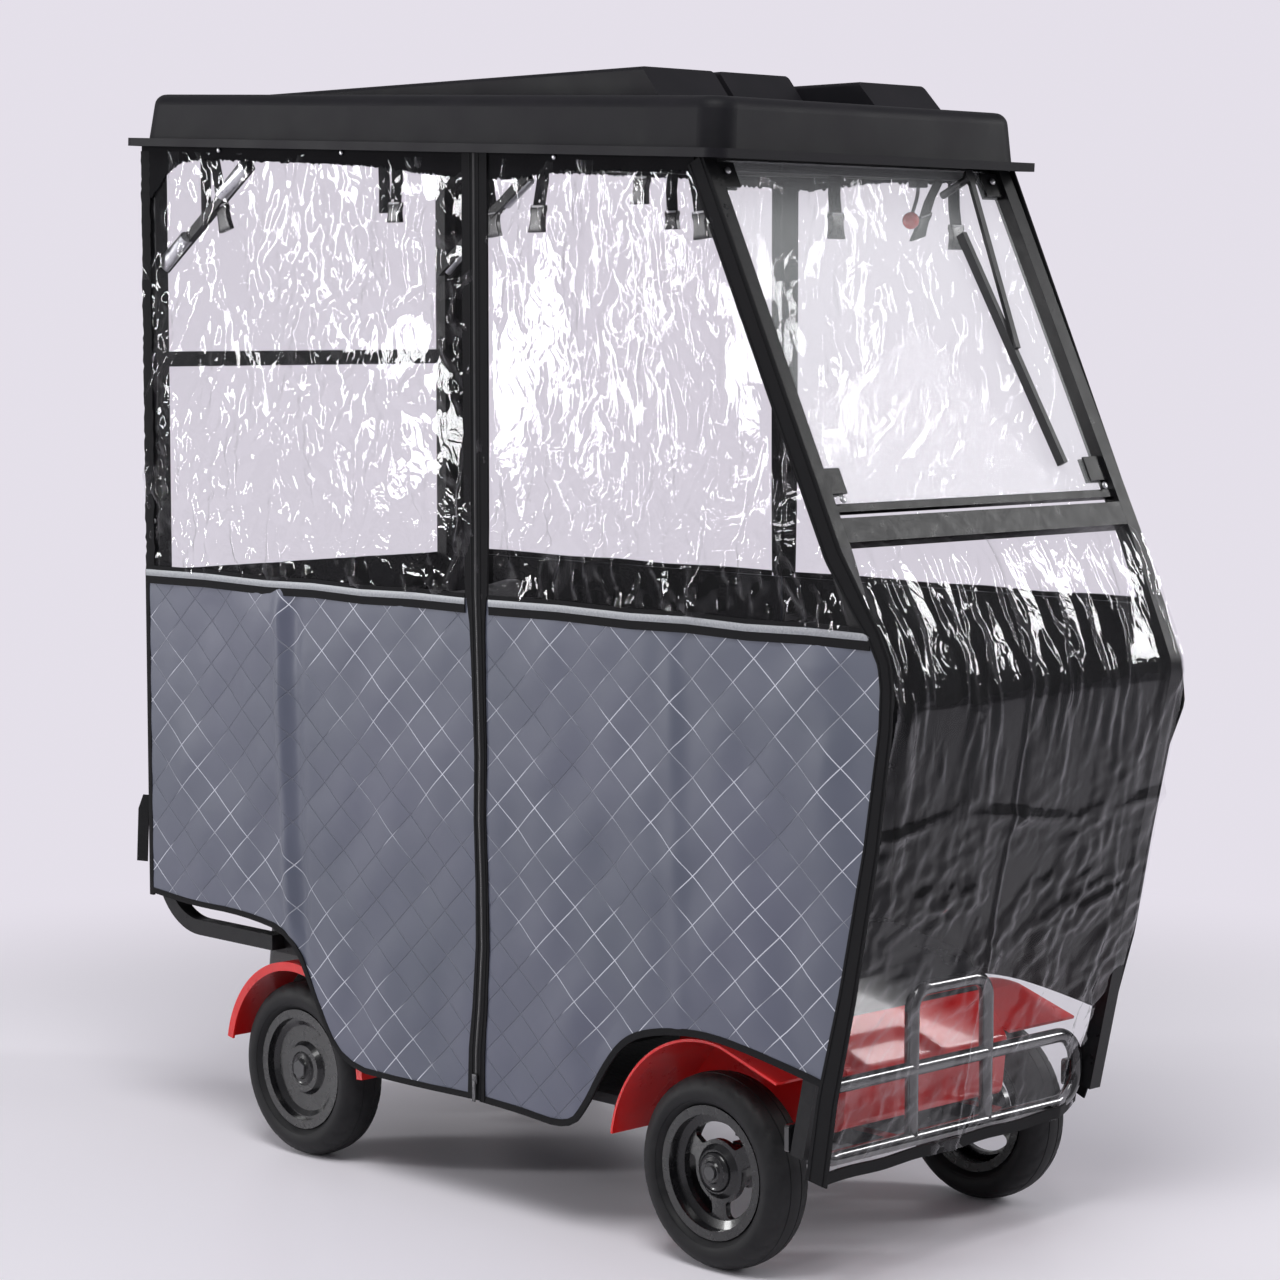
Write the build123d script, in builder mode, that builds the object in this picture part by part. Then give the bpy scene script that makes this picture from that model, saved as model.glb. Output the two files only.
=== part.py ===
from build123d import *
import os
from math import cos, radians, sin, tan

os.makedirs("parts", exist_ok=True)

# Small enclosed electric vehicle: four scooter wheels, a tube canopy, a moulded roof and a zipped rain cover.
# Millimetres. +X is forward, +Y is the driver's left, +Z is up, the ground is Z = 0 and the origin lies
# below the middle of the overall length.

# Clearances
seat_gap = 0.3
running_gap = 0.05
rubber_gap = 0.2

# Wheels
tyre_diameter = 285
tyre_width = 78
tyre_bead_radius = 92
rim_flange_radius = 97.5
rim_width = 60
rim_wall = 8
axle_radius = 10
nut_radius = 15
nut_height = 8
front_hub_face = 20
rear_hub_face = 24
rim_window_inner = 46
rim_window_outer = 71
rim_window_corner = 8
rim_spoke = 28
wheel_centre_half = 285
front_axle_x = 502
rear_axle_x = -438
wheel_radius = tyre_diameter / 2
half_tread = tyre_width / 2
half_rim = rim_width / 2

# Steering
kingpin_offset = 60
kingpin_half = wheel_centre_half - kingpin_offset
kingpin_radius = 8
barrel_radius = 16
barrel_height = 46
ear_thickness = 8
steering_arm = 80
arm_radius = 11
link_pin_radius = 5
tie_rod_radius = 8
tie_rod_drop = 6
column_radius = 16
column_foot_x = 455
column_foot_z = 128
column_length = 720
column_rake = 18
head_tube_wall = 5
grip_half = 255
bar_rise = 42
bar_sweep = 70
handlebar_radius = 11
grip_radius = 16
grip_length = 110

# Chassis
rail_half = 120
rail_width = 30
rail_height = 30
rail_bottom = 168
rail_front = 590
rail_rear = -650
axle_pad = 8
beam_height = 32
beam_depth = 40
floor_half = wheel_centre_half
floor_thickness = 15
floor_rear = -20
floor_front = 300
floor_rim = 30
floor_recess = 6

# Bodywork
body_wall = 4
body_tyre_gap = 21
rear_body_half = wheel_centre_half - half_tread - body_tyre_gap
rear_body_rear = -660
rear_body_top = 470
battery_length = 270
battery_width = 300
battery_height = 190
battery_x = -195
fender_gap = 30
fender_wall = 4
front_fender_gap = 48
steered_tyre_reach = 49
front_body_half = kingpin_half - steered_tyre_reach
front_body_nose = 630
front_body_top = 425
seat_length = 380
seat_width = 440
seat_thickness = 90
seat_x = -200
seat_back_width = 430
seat_back_top = 930

# Canopy and cover
cover_tyre_gap = 7
cover_half = wheel_centre_half + half_tread + cover_tyre_gap
quilt_thickness = 4
film_thickness = 2
canopy_tube = 25
rear_post_x = -797
roof_pitch = 2.7
brim_overhang = 19
brim_half = cover_half + brim_overhang
brim_rear = -845
brim_front = 545
brim_rear_z = 1652
brim_thickness = 5
brim_lip = 8
roof_height = 78
rib_top = 1722
knee_x = 843
knee_z = 852
apron_foot_x = 700
apron_foot_z = 168
strip_z = 937
zipper_x = 25
zipper_width = 28
zipper_top = 1600

# Derived places
axle_z = wheel_radius
rail_top = rail_bottom + rail_height
canopy_half = cover_half - quilt_thickness / 2 - seat_gap - canopy_tube / 2
pitch_slope = tan(radians(roof_pitch))


def brim_z(x):
    """Height of the roof brim's underside at the station x."""
    return brim_rear_z - (x - brim_rear) * pitch_slope


roof_plane = Plane(
    origin=(0, 0, brim_z(0)),
    x_dir=(cos(radians(roof_pitch)), 0, -sin(radians(roof_pitch))),
    z_dir=(sin(radians(roof_pitch)), 0, cos(radians(roof_pitch))),
)
column_foot = Vector(column_foot_x, 0, column_foot_z)
column_axis = Vector(-sin(radians(column_rake)), 0, cos(radians(column_rake)))


def column_plane(along):
    """Plane square to the steering column, at a distance along it from its foot."""
    return Plane(origin=column_foot + column_axis * along, x_dir=(0, 1, 0), z_dir=column_axis)


# Wheels: a revolved tyre on a cast rim, open three-window rims in front and closed dished discs behind
wheels = [
    ("front_right", front_axle_x, -1),
    ("front_left", front_axle_x, 1),
    ("rear_right", rear_axle_x, -1),
    ("rear_left", rear_axle_x, 1),
]
for wheel_name, axle_x, side in wheels:
    hub = (axle_x, side * wheel_centre_half, axle_z)
    section = Plane(origin=hub, x_dir=(0, side, 0), z_dir=(side, 0, 0))
    face = Plane(origin=hub, x_dir=(1, 0, 0), z_dir=(0, side, 0))
    spin = Axis(hub, (0, side, 0))

    with BuildPart() as tyre:
        with BuildSketch(section):
            with BuildLine():
                crown = ThreePointArc(
                    (-half_tread + 6, wheel_radius - 10),
                    (0, wheel_radius),
                    (half_tread - 6, wheel_radius - 10),
                )
                outer = ThreePointArc(
                    crown @ 1, (half_tread, wheel_radius - 26), (half_rim - 4, rim_flange_radius + 1)
                )
                Polyline(
                    outer @ 1,
                    (half_rim - 4, tyre_bead_radius + rubber_gap),
                    (-half_rim + 4, tyre_bead_radius + rubber_gap),
                    (-half_rim + 4, rim_flange_radius + 1),
                )
                ThreePointArc(
                    (-half_rim + 4, rim_flange_radius + 1), (-half_tread, wheel_radius - 26), crown @ 0
                )
            make_face()
        revolve(axis=spin)
    tyre.part.label = f"tyre_{wheel_name}"
    export_step(tyre.part, f"parts/tyre_{wheel_name}.step")

    with BuildPart() as rim:
        with BuildSketch(section):
            with BuildLine():
                Polyline(
                    (-half_rim, tyre_bead_radius - rim_wall),
                    (-half_rim, rim_flange_radius),
                    (-half_rim + 3.5, rim_flange_radius),
                    (-half_rim + 3.5, tyre_bead_radius),
                    (half_rim - 3.5, tyre_bead_radius),
                    (half_rim - 3.5, rim_flange_radius),
                    (half_rim, rim_flange_radius),
                    (half_rim, tyre_bead_radius - rim_wall),
                    close=True,
                )
            make_face()
        revolve(axis=spin)
        with BuildSketch(section):
            if axle_x == front_axle_x:
                with BuildLine():
                    Polyline(
                        (-26, axle_radius + running_gap),
                        (-26, 32),
                        (4, 34),
                        (0, 76),
                        (6, tyre_bead_radius - rim_wall),
                        (14, tyre_bead_radius - rim_wall),
                        (10, 72),
                        (13, 40),
                        (front_hub_face, 32),
                        (front_hub_face, axle_radius + running_gap),
                        close=True,
                    )
            else:
                with BuildLine():
                    Polyline(
                        (-26, axle_radius + running_gap),
                        (-26, 32),
                        (2, 34),
                        (8, 60),
                        (14, tyre_bead_radius - rim_wall),
                        (22, tyre_bead_radius - rim_wall),
                        (22, 78),
                        (16, 70),
                        (16, 44),
                        (rear_hub_face, 38),
                        (rear_hub_face, axle_radius + running_gap),
                        close=True,
                    )
            make_face()
        revolve(axis=spin)
        if axle_x == front_axle_x:
            with BuildSketch(face) as windows:
                Circle(rim_window_outer)
                Circle(rim_window_inner, mode=Mode.SUBTRACT)
                with PolarLocations(rim_window_outer / 2, 3, start_angle=-90):
                    Rectangle(rim_window_outer, rim_spoke, mode=Mode.SUBTRACT)
                fillet(windows.vertices(), rim_window_corner)
            extrude(amount=half_rim, both=True, mode=Mode.SUBTRACT)
    rim.part.label = f"rim_{wheel_name}"
    export_step(rim.part, f"parts/rim_{wheel_name}.step")

# Front axle beam: a square steel beam with an upright kingpin barrel at each end and a pad under each rail
beam_top = rail_bottom - axle_pad
beam_middle = beam_top - beam_height / 2
barrel_bottom = beam_middle - barrel_height / 2
barrel_top = beam_middle + barrel_height / 2
with BuildPart() as front_axle_beam:
    with Locations((front_axle_x, 0, beam_middle)):
        Box(beam_depth, 2 * (kingpin_half - barrel_radius / 2), beam_height)
    with Locations((front_axle_x, kingpin_half, beam_middle), (front_axle_x, -kingpin_half, beam_middle)):
        Cylinder(barrel_radius, barrel_height)
    with Locations(
        (front_axle_x, rail_half, beam_top + axle_pad / 2), (front_axle_x, -rail_half, beam_top + axle_pad / 2)
    ):
        Box(beam_depth + 20, rail_width + 16, axle_pad)
    with Locations((front_axle_x, kingpin_half, beam_middle), (front_axle_x, -kingpin_half, beam_middle)):
        Cylinder(kingpin_radius + running_gap, 2 * barrel_height, mode=Mode.SUBTRACT)
front_axle_beam.part.label = "front_axle_beam"
export_step(front_axle_beam.part, "parts/front_axle_beam.step")

# Steering knuckles: two ears and a pin round the barrel, a stub axle outwards and a steering arm rearwards
ear_gap = 0.5
upper_ear = barrel_top + ear_gap
lower_ear = barrel_bottom - ear_gap - ear_thickness
cheek_inner = barrel_radius + 2.5
cheek_thickness = 9
arm_z = lower_ear
for knuckle_name, side in (("knuckle_right", -1), ("knuckle_left", 1)):
    stub_plane = Plane(
        origin=(front_axle_x, side * (kingpin_half + cheek_inner), axle_z), x_dir=(1, 0, 0), z_dir=(0, side, 0)
    )
    with BuildPart() as knuckle:
        with BuildSketch(Plane.XY.offset(lower_ear)):
            with Locations((front_axle_x, side * kingpin_half)):
                Circle(barrel_radius)
            with Locations((front_axle_x, side * (kingpin_half + (cheek_inner + cheek_thickness) / 2))):
                Rectangle(2 * barrel_radius, cheek_inner + cheek_thickness)
            with Locations((front_axle_x - steering_arm / 2, side * kingpin_half)):
                Rectangle(steering_arm, 2 * arm_radius)
            with Locations((front_axle_x - steering_arm, side * kingpin_half)):
                Circle(arm_radius)
        extrude(amount=ear_thickness)
        with BuildSketch(Plane.XY.offset(upper_ear)):
            with Locations((front_axle_x, side * kingpin_half)):
                Circle(barrel_radius)
            with Locations((front_axle_x, side * (kingpin_half + (cheek_inner + cheek_thickness) / 2))):
                Rectangle(2 * barrel_radius, cheek_inner + cheek_thickness)
        extrude(amount=ear_thickness)
        with BuildSketch(Plane.XY.offset(lower_ear)):
            with Locations((front_axle_x, side * (kingpin_half + cheek_inner + cheek_thickness / 2))):
                Rectangle(2 * barrel_radius, cheek_thickness)
        extrude(amount=upper_ear + ear_thickness - lower_ear)
        with BuildSketch(Plane.XY.offset(lower_ear)):
            with Locations((front_axle_x, side * kingpin_half)):
                Circle(kingpin_radius)
        extrude(amount=upper_ear + ear_thickness - lower_ear)
        with BuildSketch(stub_plane):
            Circle(axle_radius)
        extrude(amount=kingpin_offset - cheek_inner + half_rim + 2)
        with BuildSketch(stub_plane.offset(kingpin_offset - cheek_inner + front_hub_face + ear_gap)):
            RegularPolygon(nut_radius, 6)
        extrude(amount=nut_height)
        with BuildSketch(Plane.XY.offset(arm_z)):
            with Locations((front_axle_x - steering_arm, side * kingpin_half)):
                Circle(link_pin_radius)
        extrude(amount=-(tie_rod_drop + 2 * tie_rod_radius + 3))
    knuckle.part.label = knuckle_name
    export_step(knuckle.part, f"parts/{knuckle_name}.step")

# Tie rod: a bar with an eye round each arm's pin and a lug in the middle that carries the column's link pin
tie_x = front_axle_x - steering_arm
tie_z = arm_z - tie_rod_drop - tie_rod_radius
link_x = column_foot_x - steering_arm
with BuildPart() as tie_rod:
    with BuildSketch(Plane.XZ.offset(-kingpin_half)):
        with Locations((tie_x, tie_z)):
            Circle(tie_rod_radius)
    extrude(amount=2 * kingpin_half)
    with Locations((tie_x, kingpin_half, tie_z), (tie_x, -kingpin_half, tie_z)):
        Cylinder(arm_radius, 2 * tie_rod_radius)
    with BuildSketch(Plane.XY.offset(tie_z - tie_rod_radius)):
        with Locations(((tie_x + link_x) / 2, 0)):
            Rectangle(tie_x - link_x, 2 * arm_radius)
        with Locations((link_x, 0)):
            Circle(arm_radius)
    extrude(amount=2 * tie_rod_radius)
    with Locations((link_x, 0, tie_z + tie_rod_radius)):
        Cylinder(link_pin_radius, 34, align=(Align.CENTER, Align.CENTER, Align.MIN))
    with Locations((tie_x, -kingpin_half, tie_z)):
        Cylinder(link_pin_radius + running_gap, 4 * tie_rod_radius, mode=Mode.SUBTRACT)
    with Locations((tie_x, kingpin_half, tie_z)):
        Cylinder(link_pin_radius + seat_gap, 4 * tie_rod_radius, mode=Mode.SUBTRACT)
tie_rod.part.label = "tie_rod"
export_step(tie_rod.part, "parts/tie_rod.step")

# Steering column: a raked tube with a link arm at its foot, a fork at its top and the handlebar across it
link_eye_radius = 17
link_eye_bore = 11
with BuildPart() as steering_column:
    with BuildSketch(column_plane(0)):
        Circle(column_radius)
    extrude(amount=column_length)
    with BuildSketch(Plane.XY.offset(column_foot_z - 8)):
        with Locations((column_foot_x - steering_arm / 2, 0)):
            Rectangle(steering_arm, 24)
        with Locations((column_foot_x, 0)):
            Circle(column_radius + 2)
        with Locations((link_x, 0)):
            Circle(link_eye_radius)
        with Locations((link_x, 0)):
            Circle(link_eye_bore, mode=Mode.SUBTRACT)
    extrude(amount=12)
    with BuildSketch(column_plane(column_length - 26)):
        RectangleRounded(70, 56, 14)
    extrude(amount=42)
    bar_middle = column_foot + column_axis * (column_length + 6)
    with BuildLine():
        FilletPolyline(
            (bar_middle.X - bar_sweep, -grip_half, bar_middle.Z + bar_rise),
            (bar_middle.X - 10, -grip_half + 130, bar_middle.Z + bar_rise),
            (bar_middle.X, -45, bar_middle.Z),
            (bar_middle.X, 45, bar_middle.Z),
            (bar_middle.X - 10, grip_half - 130, bar_middle.Z + bar_rise),
            (bar_middle.X - bar_sweep, grip_half, bar_middle.Z + bar_rise),
            radius=30,
        )
    with BuildSketch(
        Plane(
            origin=(bar_middle.X - bar_sweep, -grip_half, bar_middle.Z + bar_rise),
            z_dir=(60, 130, 0),
        )
    ):
        Circle(handlebar_radius)
    sweep()
steering_column.part.label = "steering_column"
export_step(steering_column.part, "parts/steering_column.step")

# Handlebar grips: soft black sleeves on the last stretch of each side of the bar
bar_end = Vector(bar_middle.X - bar_sweep, grip_half, bar_middle.Z + bar_rise)
grip_direction = Vector(60, -130, 0).normalized()
with BuildPart() as handlebar_grips:
    for side in (-1, 1):
        grip_end = Vector(bar_end.X, side * bar_end.Y, bar_end.Z)
        along = Vector(grip_direction.X, side * grip_direction.Y, 0)
        with BuildSketch(Plane(origin=grip_end - along * 4, z_dir=along)):
            Circle(grip_radius)
        extrude(amount=grip_length)
        with BuildSketch(Plane(origin=grip_end, z_dir=along)):
            Circle(handlebar_radius + running_gap)
        extrude(amount=grip_length, mode=Mode.SUBTRACT)
handlebar_grips.part.label = "handlebar_grips"
export_step(handlebar_grips.part, "parts/handlebar_grips.step")

# Dash pod: the rounded plastic instrument housing that sits on the handlebar's middle
with BuildPart() as dash_pod:
    with BuildSketch(column_plane(column_length + 18)):
        RectangleRounded(190, 92, 28)
    with BuildSketch(column_plane(column_length + 62)):
        RectangleRounded(150, 62, 24)
    loft()
    with BuildLine():
        FilletPolyline(
            (bar_middle.X - 10, -grip_half + 130, bar_middle.Z + bar_rise),
            (bar_middle.X, -45, bar_middle.Z),
            (bar_middle.X, 45, bar_middle.Z),
            (bar_middle.X - 10, grip_half - 130, bar_middle.Z + bar_rise),
            radius=30,
        )
    with BuildSketch(
        Plane(origin=(bar_middle.X - 10, -grip_half + 130, bar_middle.Z + bar_rise), z_dir=(10, 80, -42))
    ):
        Circle(handlebar_radius + seat_gap)
    sweep(mode=Mode.SUBTRACT)
dash_pod.part.label = "dash_pod"
export_step(dash_pod.part, "parts/dash_pod.step")

# Chassis frame: two box rails with cross members, the head tube, and a raised hanger tube over the rear axle
# with a plate at each end for the canopy's rear feet
neck_x = 370
cross_stations = (rail_rear + 15, -340, floor_rear - 20, neck_x, rail_front - 15)
hanger_x = -470
hanger_z = 345
hanger_radius = 15
head_tube_start = 92
head_tube_length = 190
with BuildPart() as chassis_frame:
    with Locations(
        ((rail_front + rail_rear) / 2, rail_half, rail_bottom), ((rail_front + rail_rear) / 2, -rail_half, rail_bottom)
    ):
        Box(rail_front - rail_rear, rail_width, rail_height, align=(Align.CENTER, Align.CENTER, Align.MIN))
    for station in cross_stations:
        with Locations((station, 0, rail_bottom)):
            Box(rail_width, 2 * rail_half, rail_height, align=(Align.CENTER, Align.CENTER, Align.MIN))
    for station in (floor_rear + 15, floor_front - 15):
        with Locations((station, 0, rail_bottom + 6)):
            Box(24, 2 * floor_half, rail_height - 6, align=(Align.CENTER, Align.CENTER, Align.MIN))
    for side in (-1, 1):
        with Locations((hanger_x, side * rail_half, rail_top)):
            Box(24, 24, hanger_z - rail_top, align=(Align.CENTER, Align.CENTER, Align.MIN))
    with BuildSketch(Plane.XZ.offset(-(canopy_half - canopy_tube))):
        with Locations((hanger_x, hanger_z)):
            Circle(hanger_radius)
    extrude(amount=2 * (canopy_half - canopy_tube))
    for side in (-1, 1):
        with BuildSketch(Plane.XZ.offset(-side * (canopy_half - canopy_tube / 2 - seat_gap))):
            with Locations((hanger_x - 12, hanger_z + 2)):
                RectangleRounded(70, 44, 8)
        extrude(amount=side * (canopy_tube / 2 + 4))
    with BuildSketch(column_plane(head_tube_start)):
        Circle(column_radius + seat_gap + head_tube_wall)
    extrude(amount=head_tube_length)
    head_foot = column_foot + column_axis * head_tube_start
    with Locations(((head_foot.X + neck_x) / 2, 0, rail_top)):
        Box(head_foot.X - neck_x + 30, 60, 40, align=(Align.CENTER, Align.CENTER, Align.MIN))
    with BuildSketch(column_plane(0)):
        Circle(column_radius + seat_gap)
    extrude(amount=column_length / 2, mode=Mode.SUBTRACT)
chassis_frame.part.label = "chassis_frame"
export_step(chassis_frame.part, "parts/chassis_frame.step")

# Floor deck: the flat footwell tray with raised edges
with BuildPart() as floor_deck:
    with BuildSketch(Plane.XY.offset(rail_top)):
        with Locations(((floor_rear + floor_front) / 2, 0)):
            RectangleRounded(floor_front - floor_rear, 2 * floor_half, 24)
    extrude(amount=floor_thickness)
    with BuildSketch(Plane.XY.offset(rail_top + floor_thickness)):
        with Locations(((floor_rear + floor_front) / 2, 0)):
            Rectangle(floor_front - floor_rear - 2 * floor_rim, 2 * (floor_half - floor_rim))
    extrude(amount=-floor_recess, mode=Mode.SUBTRACT)
    with BuildSketch(column_plane(0)):
        Circle(column_radius + head_tube_wall + 4)
    extrude(amount=column_length / 2, mode=Mode.SUBTRACT)
floor_deck.part.label = "floor_deck"
export_step(floor_deck.part, "parts/floor_deck.step")

# Rear axle: axle tube with the drive motor and its gear case, and a shaft end into each rear wheel
with BuildPart() as rear_axle:
    with BuildSketch(Plane.XZ.offset(-(wheel_centre_half + half_rim + 2))):
        with Locations((rear_axle_x, axle_z)):
            Circle(axle_radius)
    extrude(amount=2 * (wheel_centre_half + half_rim + 2))
    with BuildSketch(Plane.XZ.offset(-(wheel_centre_half - half_tread - 4))):
        with Locations((rear_axle_x, axle_z)):
            Circle(20)
    extrude(amount=2 * (wheel_centre_half - half_tread - 4))
    with BuildSketch(Plane.XZ.offset(-50)):
        with Locations((rear_axle_x, axle_z)):
            Circle(58)
        with Locations((rear_axle_x - 60, axle_z)):
            Rectangle(60, 70)
    extrude(amount=100)
    with BuildSketch(Plane.XZ.offset(-90)):
        with Locations((rear_axle_x - 105, axle_z)):
            Circle(52)
    extrude(amount=170)
    for side in (-1, 1):
        with Locations((rear_axle_x, side * rail_half, (axle_z + rail_bottom) / 2)):
            Box(56, rail_width + 12, rail_bottom - axle_z)
        with BuildSketch(
            Plane(origin=(rear_axle_x, side * (wheel_centre_half + rear_hub_face + ear_gap), axle_z), z_dir=(0, side, 0))
        ):
            RegularPolygon(nut_radius, 6)
        extrude(amount=nut_height)
rear_axle.part.label = "rear_axle"
export_step(rear_axle.part, "parts/rear_axle.step")

# Battery pack: one plain block on the rails under the seat
with BuildPart() as battery_pack:
    with Locations((battery_x, 0, rail_top)):
        Box(battery_length, battery_width, battery_height, align=(Align.CENTER, Align.CENTER, Align.MIN))
battery_pack.part.label = "battery_pack"
export_step(battery_pack.part, "parts/battery_pack.step")

# Rear body: the moulded housing under the seat, open below, with the hanger tube through its sides
with BuildPart() as rear_body:
    for inset, lift, mode in ((0, 0, Mode.ADD), (body_wall, -body_wall, Mode.SUBTRACT)):
        with BuildSketch(Plane.XY.offset(rail_top + 6 + lift)):
            with Locations(((rear_body_rear + floor_rear) / 2 - 6, 0)):
                RectangleRounded(
                    floor_rear - rear_body_rear - 12 - 2 * inset, 2 * rear_body_half - 2 * inset, 30 - inset
                )
        with BuildSketch(Plane.XY.offset(rear_body_top + lift)):
            with Locations(((rear_body_rear + floor_rear) / 2 - 6, 0)):
                RectangleRounded(
                    floor_rear - rear_body_rear - 60 - 2 * inset, 2 * rear_body_half - 20 - 2 * inset, 24 - inset
                )
        loft(mode=mode)
    fillet(rear_body.faces().sort_by(Axis.Z)[-1].outer_wire().edges(), body_wall - 1)
    with BuildSketch(Plane.XZ.offset(-cover_half)):
        with Locations((hanger_x, hanger_z)):
            Circle(hanger_radius + seat_gap)
    extrude(amount=2 * cover_half, mode=Mode.SUBTRACT)
rear_body.part.label = "rear_body"
export_step(rear_body.part, "parts/rear_body.step")

# Rear fenders: arched mudguards with a rolled outer lip, on the rear body's sides
fender_outer = cover_half - quilt_thickness / 2 - seat_gap
rear_fender_radius = wheel_radius + fender_gap
with BuildPart() as rear_fenders:
    for side in (-1, 1):
        with BuildSketch(Plane.XZ.offset(-side * fender_outer)):
            with BuildLine():
                arch = CenterArc((rear_axle_x, axle_z), rear_fender_radius + fender_wall, 4, 166)
                inner_arch = CenterArc((rear_axle_x, axle_z), rear_fender_radius, 4, 166)
                Line(arch @ 0, inner_arch @ 0)
                Line(arch @ 1, inner_arch @ 1)
            make_face()
        extrude(amount=side * (fender_outer - rear_body_half - seat_gap))
        with BuildSketch(Plane.XZ.offset(-side * fender_outer)):
            with BuildLine():
                lip = CenterArc((rear_axle_x, axle_z), rear_fender_radius + fender_wall, 4, 166)
                lip_inner = CenterArc((rear_axle_x, axle_z), rear_fender_radius - 10, 4, 166)
                Line(lip @ 0, lip_inner @ 0)
                Line(lip @ 1, lip_inner @ 1)
            make_face()
        extrude(amount=side * fender_wall)
rear_fenders.part.label = "rear_fenders"
export_step(rear_fenders.part, "parts/rear_fenders.step")

# Front body: the red nose cowl between the front wheels, open below
nose_bottom = rail_top
nose_rear = floor_front + seat_gap
with BuildPart() as front_body:
    for inset, mode in ((0, Mode.ADD), (body_wall, Mode.SUBTRACT)):
        with BuildSketch(Plane.XZ.offset(-front_body_half + inset)):
            with BuildLine():
                FilletPolyline(
                    (nose_rear + inset, nose_bottom - inset),
                    (front_body_nose - inset, nose_bottom - inset),
                    (front_body_nose + 10 - inset, nose_bottom + 90),
                    (front_body_nose - 70, front_body_top - 20 - inset),
                    (floor_front + 60, front_body_top + 20 - inset),
                    (nose_rear + inset, front_body_top - 40),
                    radius=18 - inset,
                    close=True,
                )
            make_face()
        extrude(amount=2 * (front_body_half - inset), mode=mode)
    with BuildSketch(column_plane(0)):
        Circle(column_radius + head_tube_wall + 4)
    extrude(amount=column_length, mode=Mode.SUBTRACT)
front_body.part.label = "front_body"
export_step(front_body.part, "parts/front_body.step")

# Front fenders: arches over the steered wheels that run forward to the bumper
front_fender_radius = wheel_radius + front_fender_gap
fender_crown_z = axle_z + front_fender_radius
with BuildPart() as front_fenders:
    for side in (-1, 1):
        with BuildSketch(Plane.XZ.offset(-side * fender_outer)):
            with BuildLine():
                sweep_arc = CenterArc((front_axle_x, axle_z), front_fender_radius + fender_wall, 80, 92)
                under_arc = CenterArc((front_axle_x, axle_z), front_fender_radius, 80, 92)
                nose_edge = Line(sweep_arc @ 0, (front_body_nose + 15, fender_crown_z - 34))
                under_edge = Line(under_arc @ 0, (front_body_nose + 14, fender_crown_z - 38))
                Line(nose_edge @ 1, under_edge @ 1)
                Line(sweep_arc @ 1, under_arc @ 1)
            make_face()
        extrude(amount=side * (fender_outer - front_body_half - seat_gap))
front_fenders.part.label = "front_fenders"
export_step(front_fenders.part, "parts/front_fenders.step")

# Leg shield: the raked shield in front of the rider's knees, narrow at its foot, with a hollow rear side
shield_plane = Plane(
    origin=column_foot + Vector(cos(radians(column_rake)), 0, sin(radians(column_rake))) * 44,
    x_dir=(0, 1, 0),
    z_dir=(cos(radians(column_rake)), 0, sin(radians(column_rake))),
)
shield_depth = 26
with BuildPart() as leg_shield:
    with BuildSketch(shield_plane):
        with BuildLine():
            FilletPolyline(
                (-150, 311.5),
                (-252, 560),
                (-262, 640),
                (-190, 690),
                (190, 690),
                (262, 640),
                (252, 560),
                (150, 311.5),
                radius=34,
                close=True,
            )
        shield_outline = make_face()
    extrude(amount=shield_depth)
    with BuildSketch(shield_plane):
        add(shield_outline)
        offset(amount=-body_wall)
    extrude(amount=shield_depth - body_wall, mode=Mode.SUBTRACT)
leg_shield.part.label = "leg_shield"
export_step(leg_shield.part, "parts/leg_shield.step")

# Seat: a padded bench cushion on the rear body and a padded back behind it
with BuildPart() as seat_cushion:
    with Locations((seat_x, 0, rear_body_top + seat_gap)):
        Box(seat_length, seat_width, seat_thickness, align=(Align.CENTER, Align.CENTER, Align.MIN))
    fillet(seat_cushion.edges().filter_by(Axis.Z), 40)
    fillet(seat_cushion.faces().sort_by(Axis.Z)[-1].edges(), 24)
seat_cushion.part.label = "seat_cushion"
export_step(seat_cushion.part, "parts/seat_cushion.step")

with BuildPart() as seat_back:
    with BuildSketch(Plane.XZ.offset(-seat_back_width / 2)):
        with BuildLine():
            FilletPolyline(
                (-395, rear_body_top + seat_gap),
                (-460, seat_back_top),
                (-520, seat_back_top - 5),
                (-480, rear_body_top + seat_gap),
                radius=16,
                close=True,
            )
        make_face()
    extrude(amount=seat_back_width)
seat_back.part.label = "seat_back"
export_step(seat_back.part, "parts/seat_back.step")

# Rear posts: canopy tubes that rise from the hanger tube round a wide bend, with a cross tube between them
# and a short diagonal brace up to each roof rail
post_top = brim_z(rear_post_x + canopy_tube) - canopy_tube - 1.5
post_crossbar_z = 1290
with BuildPart() as rear_posts:
    for side in (-1, 1):
        with BuildLine():
            FilletPolyline(
                (hanger_x - 20, side * canopy_half, hanger_z),
                (rear_post_x, side * canopy_half, hanger_z),
                (rear_post_x, side * canopy_half, post_top),
                radius=110,
            )
        with BuildSketch(Plane(origin=(hanger_x - 20, side * canopy_half, hanger_z), z_dir=(-1, 0, 0))):
            Rectangle(canopy_tube, canopy_tube)
        sweep()
    with Locations((rear_post_x, 0, post_crossbar_z)):
        Box(canopy_tube, 2 * canopy_half, canopy_tube)
    for side in (-1, 1):
        with BuildSketch(Plane.XZ.offset(-side * (canopy_half - 7))):
            with BuildLine():
                Line((rear_post_x, 1440), (-560, brim_z(-560) - canopy_tube - 9))
            trace(line_width=16)
        extrude(amount=side * 14)
rear_posts.part.label = "rear_posts"
export_step(rear_posts.part, "parts/rear_posts.step")

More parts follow.
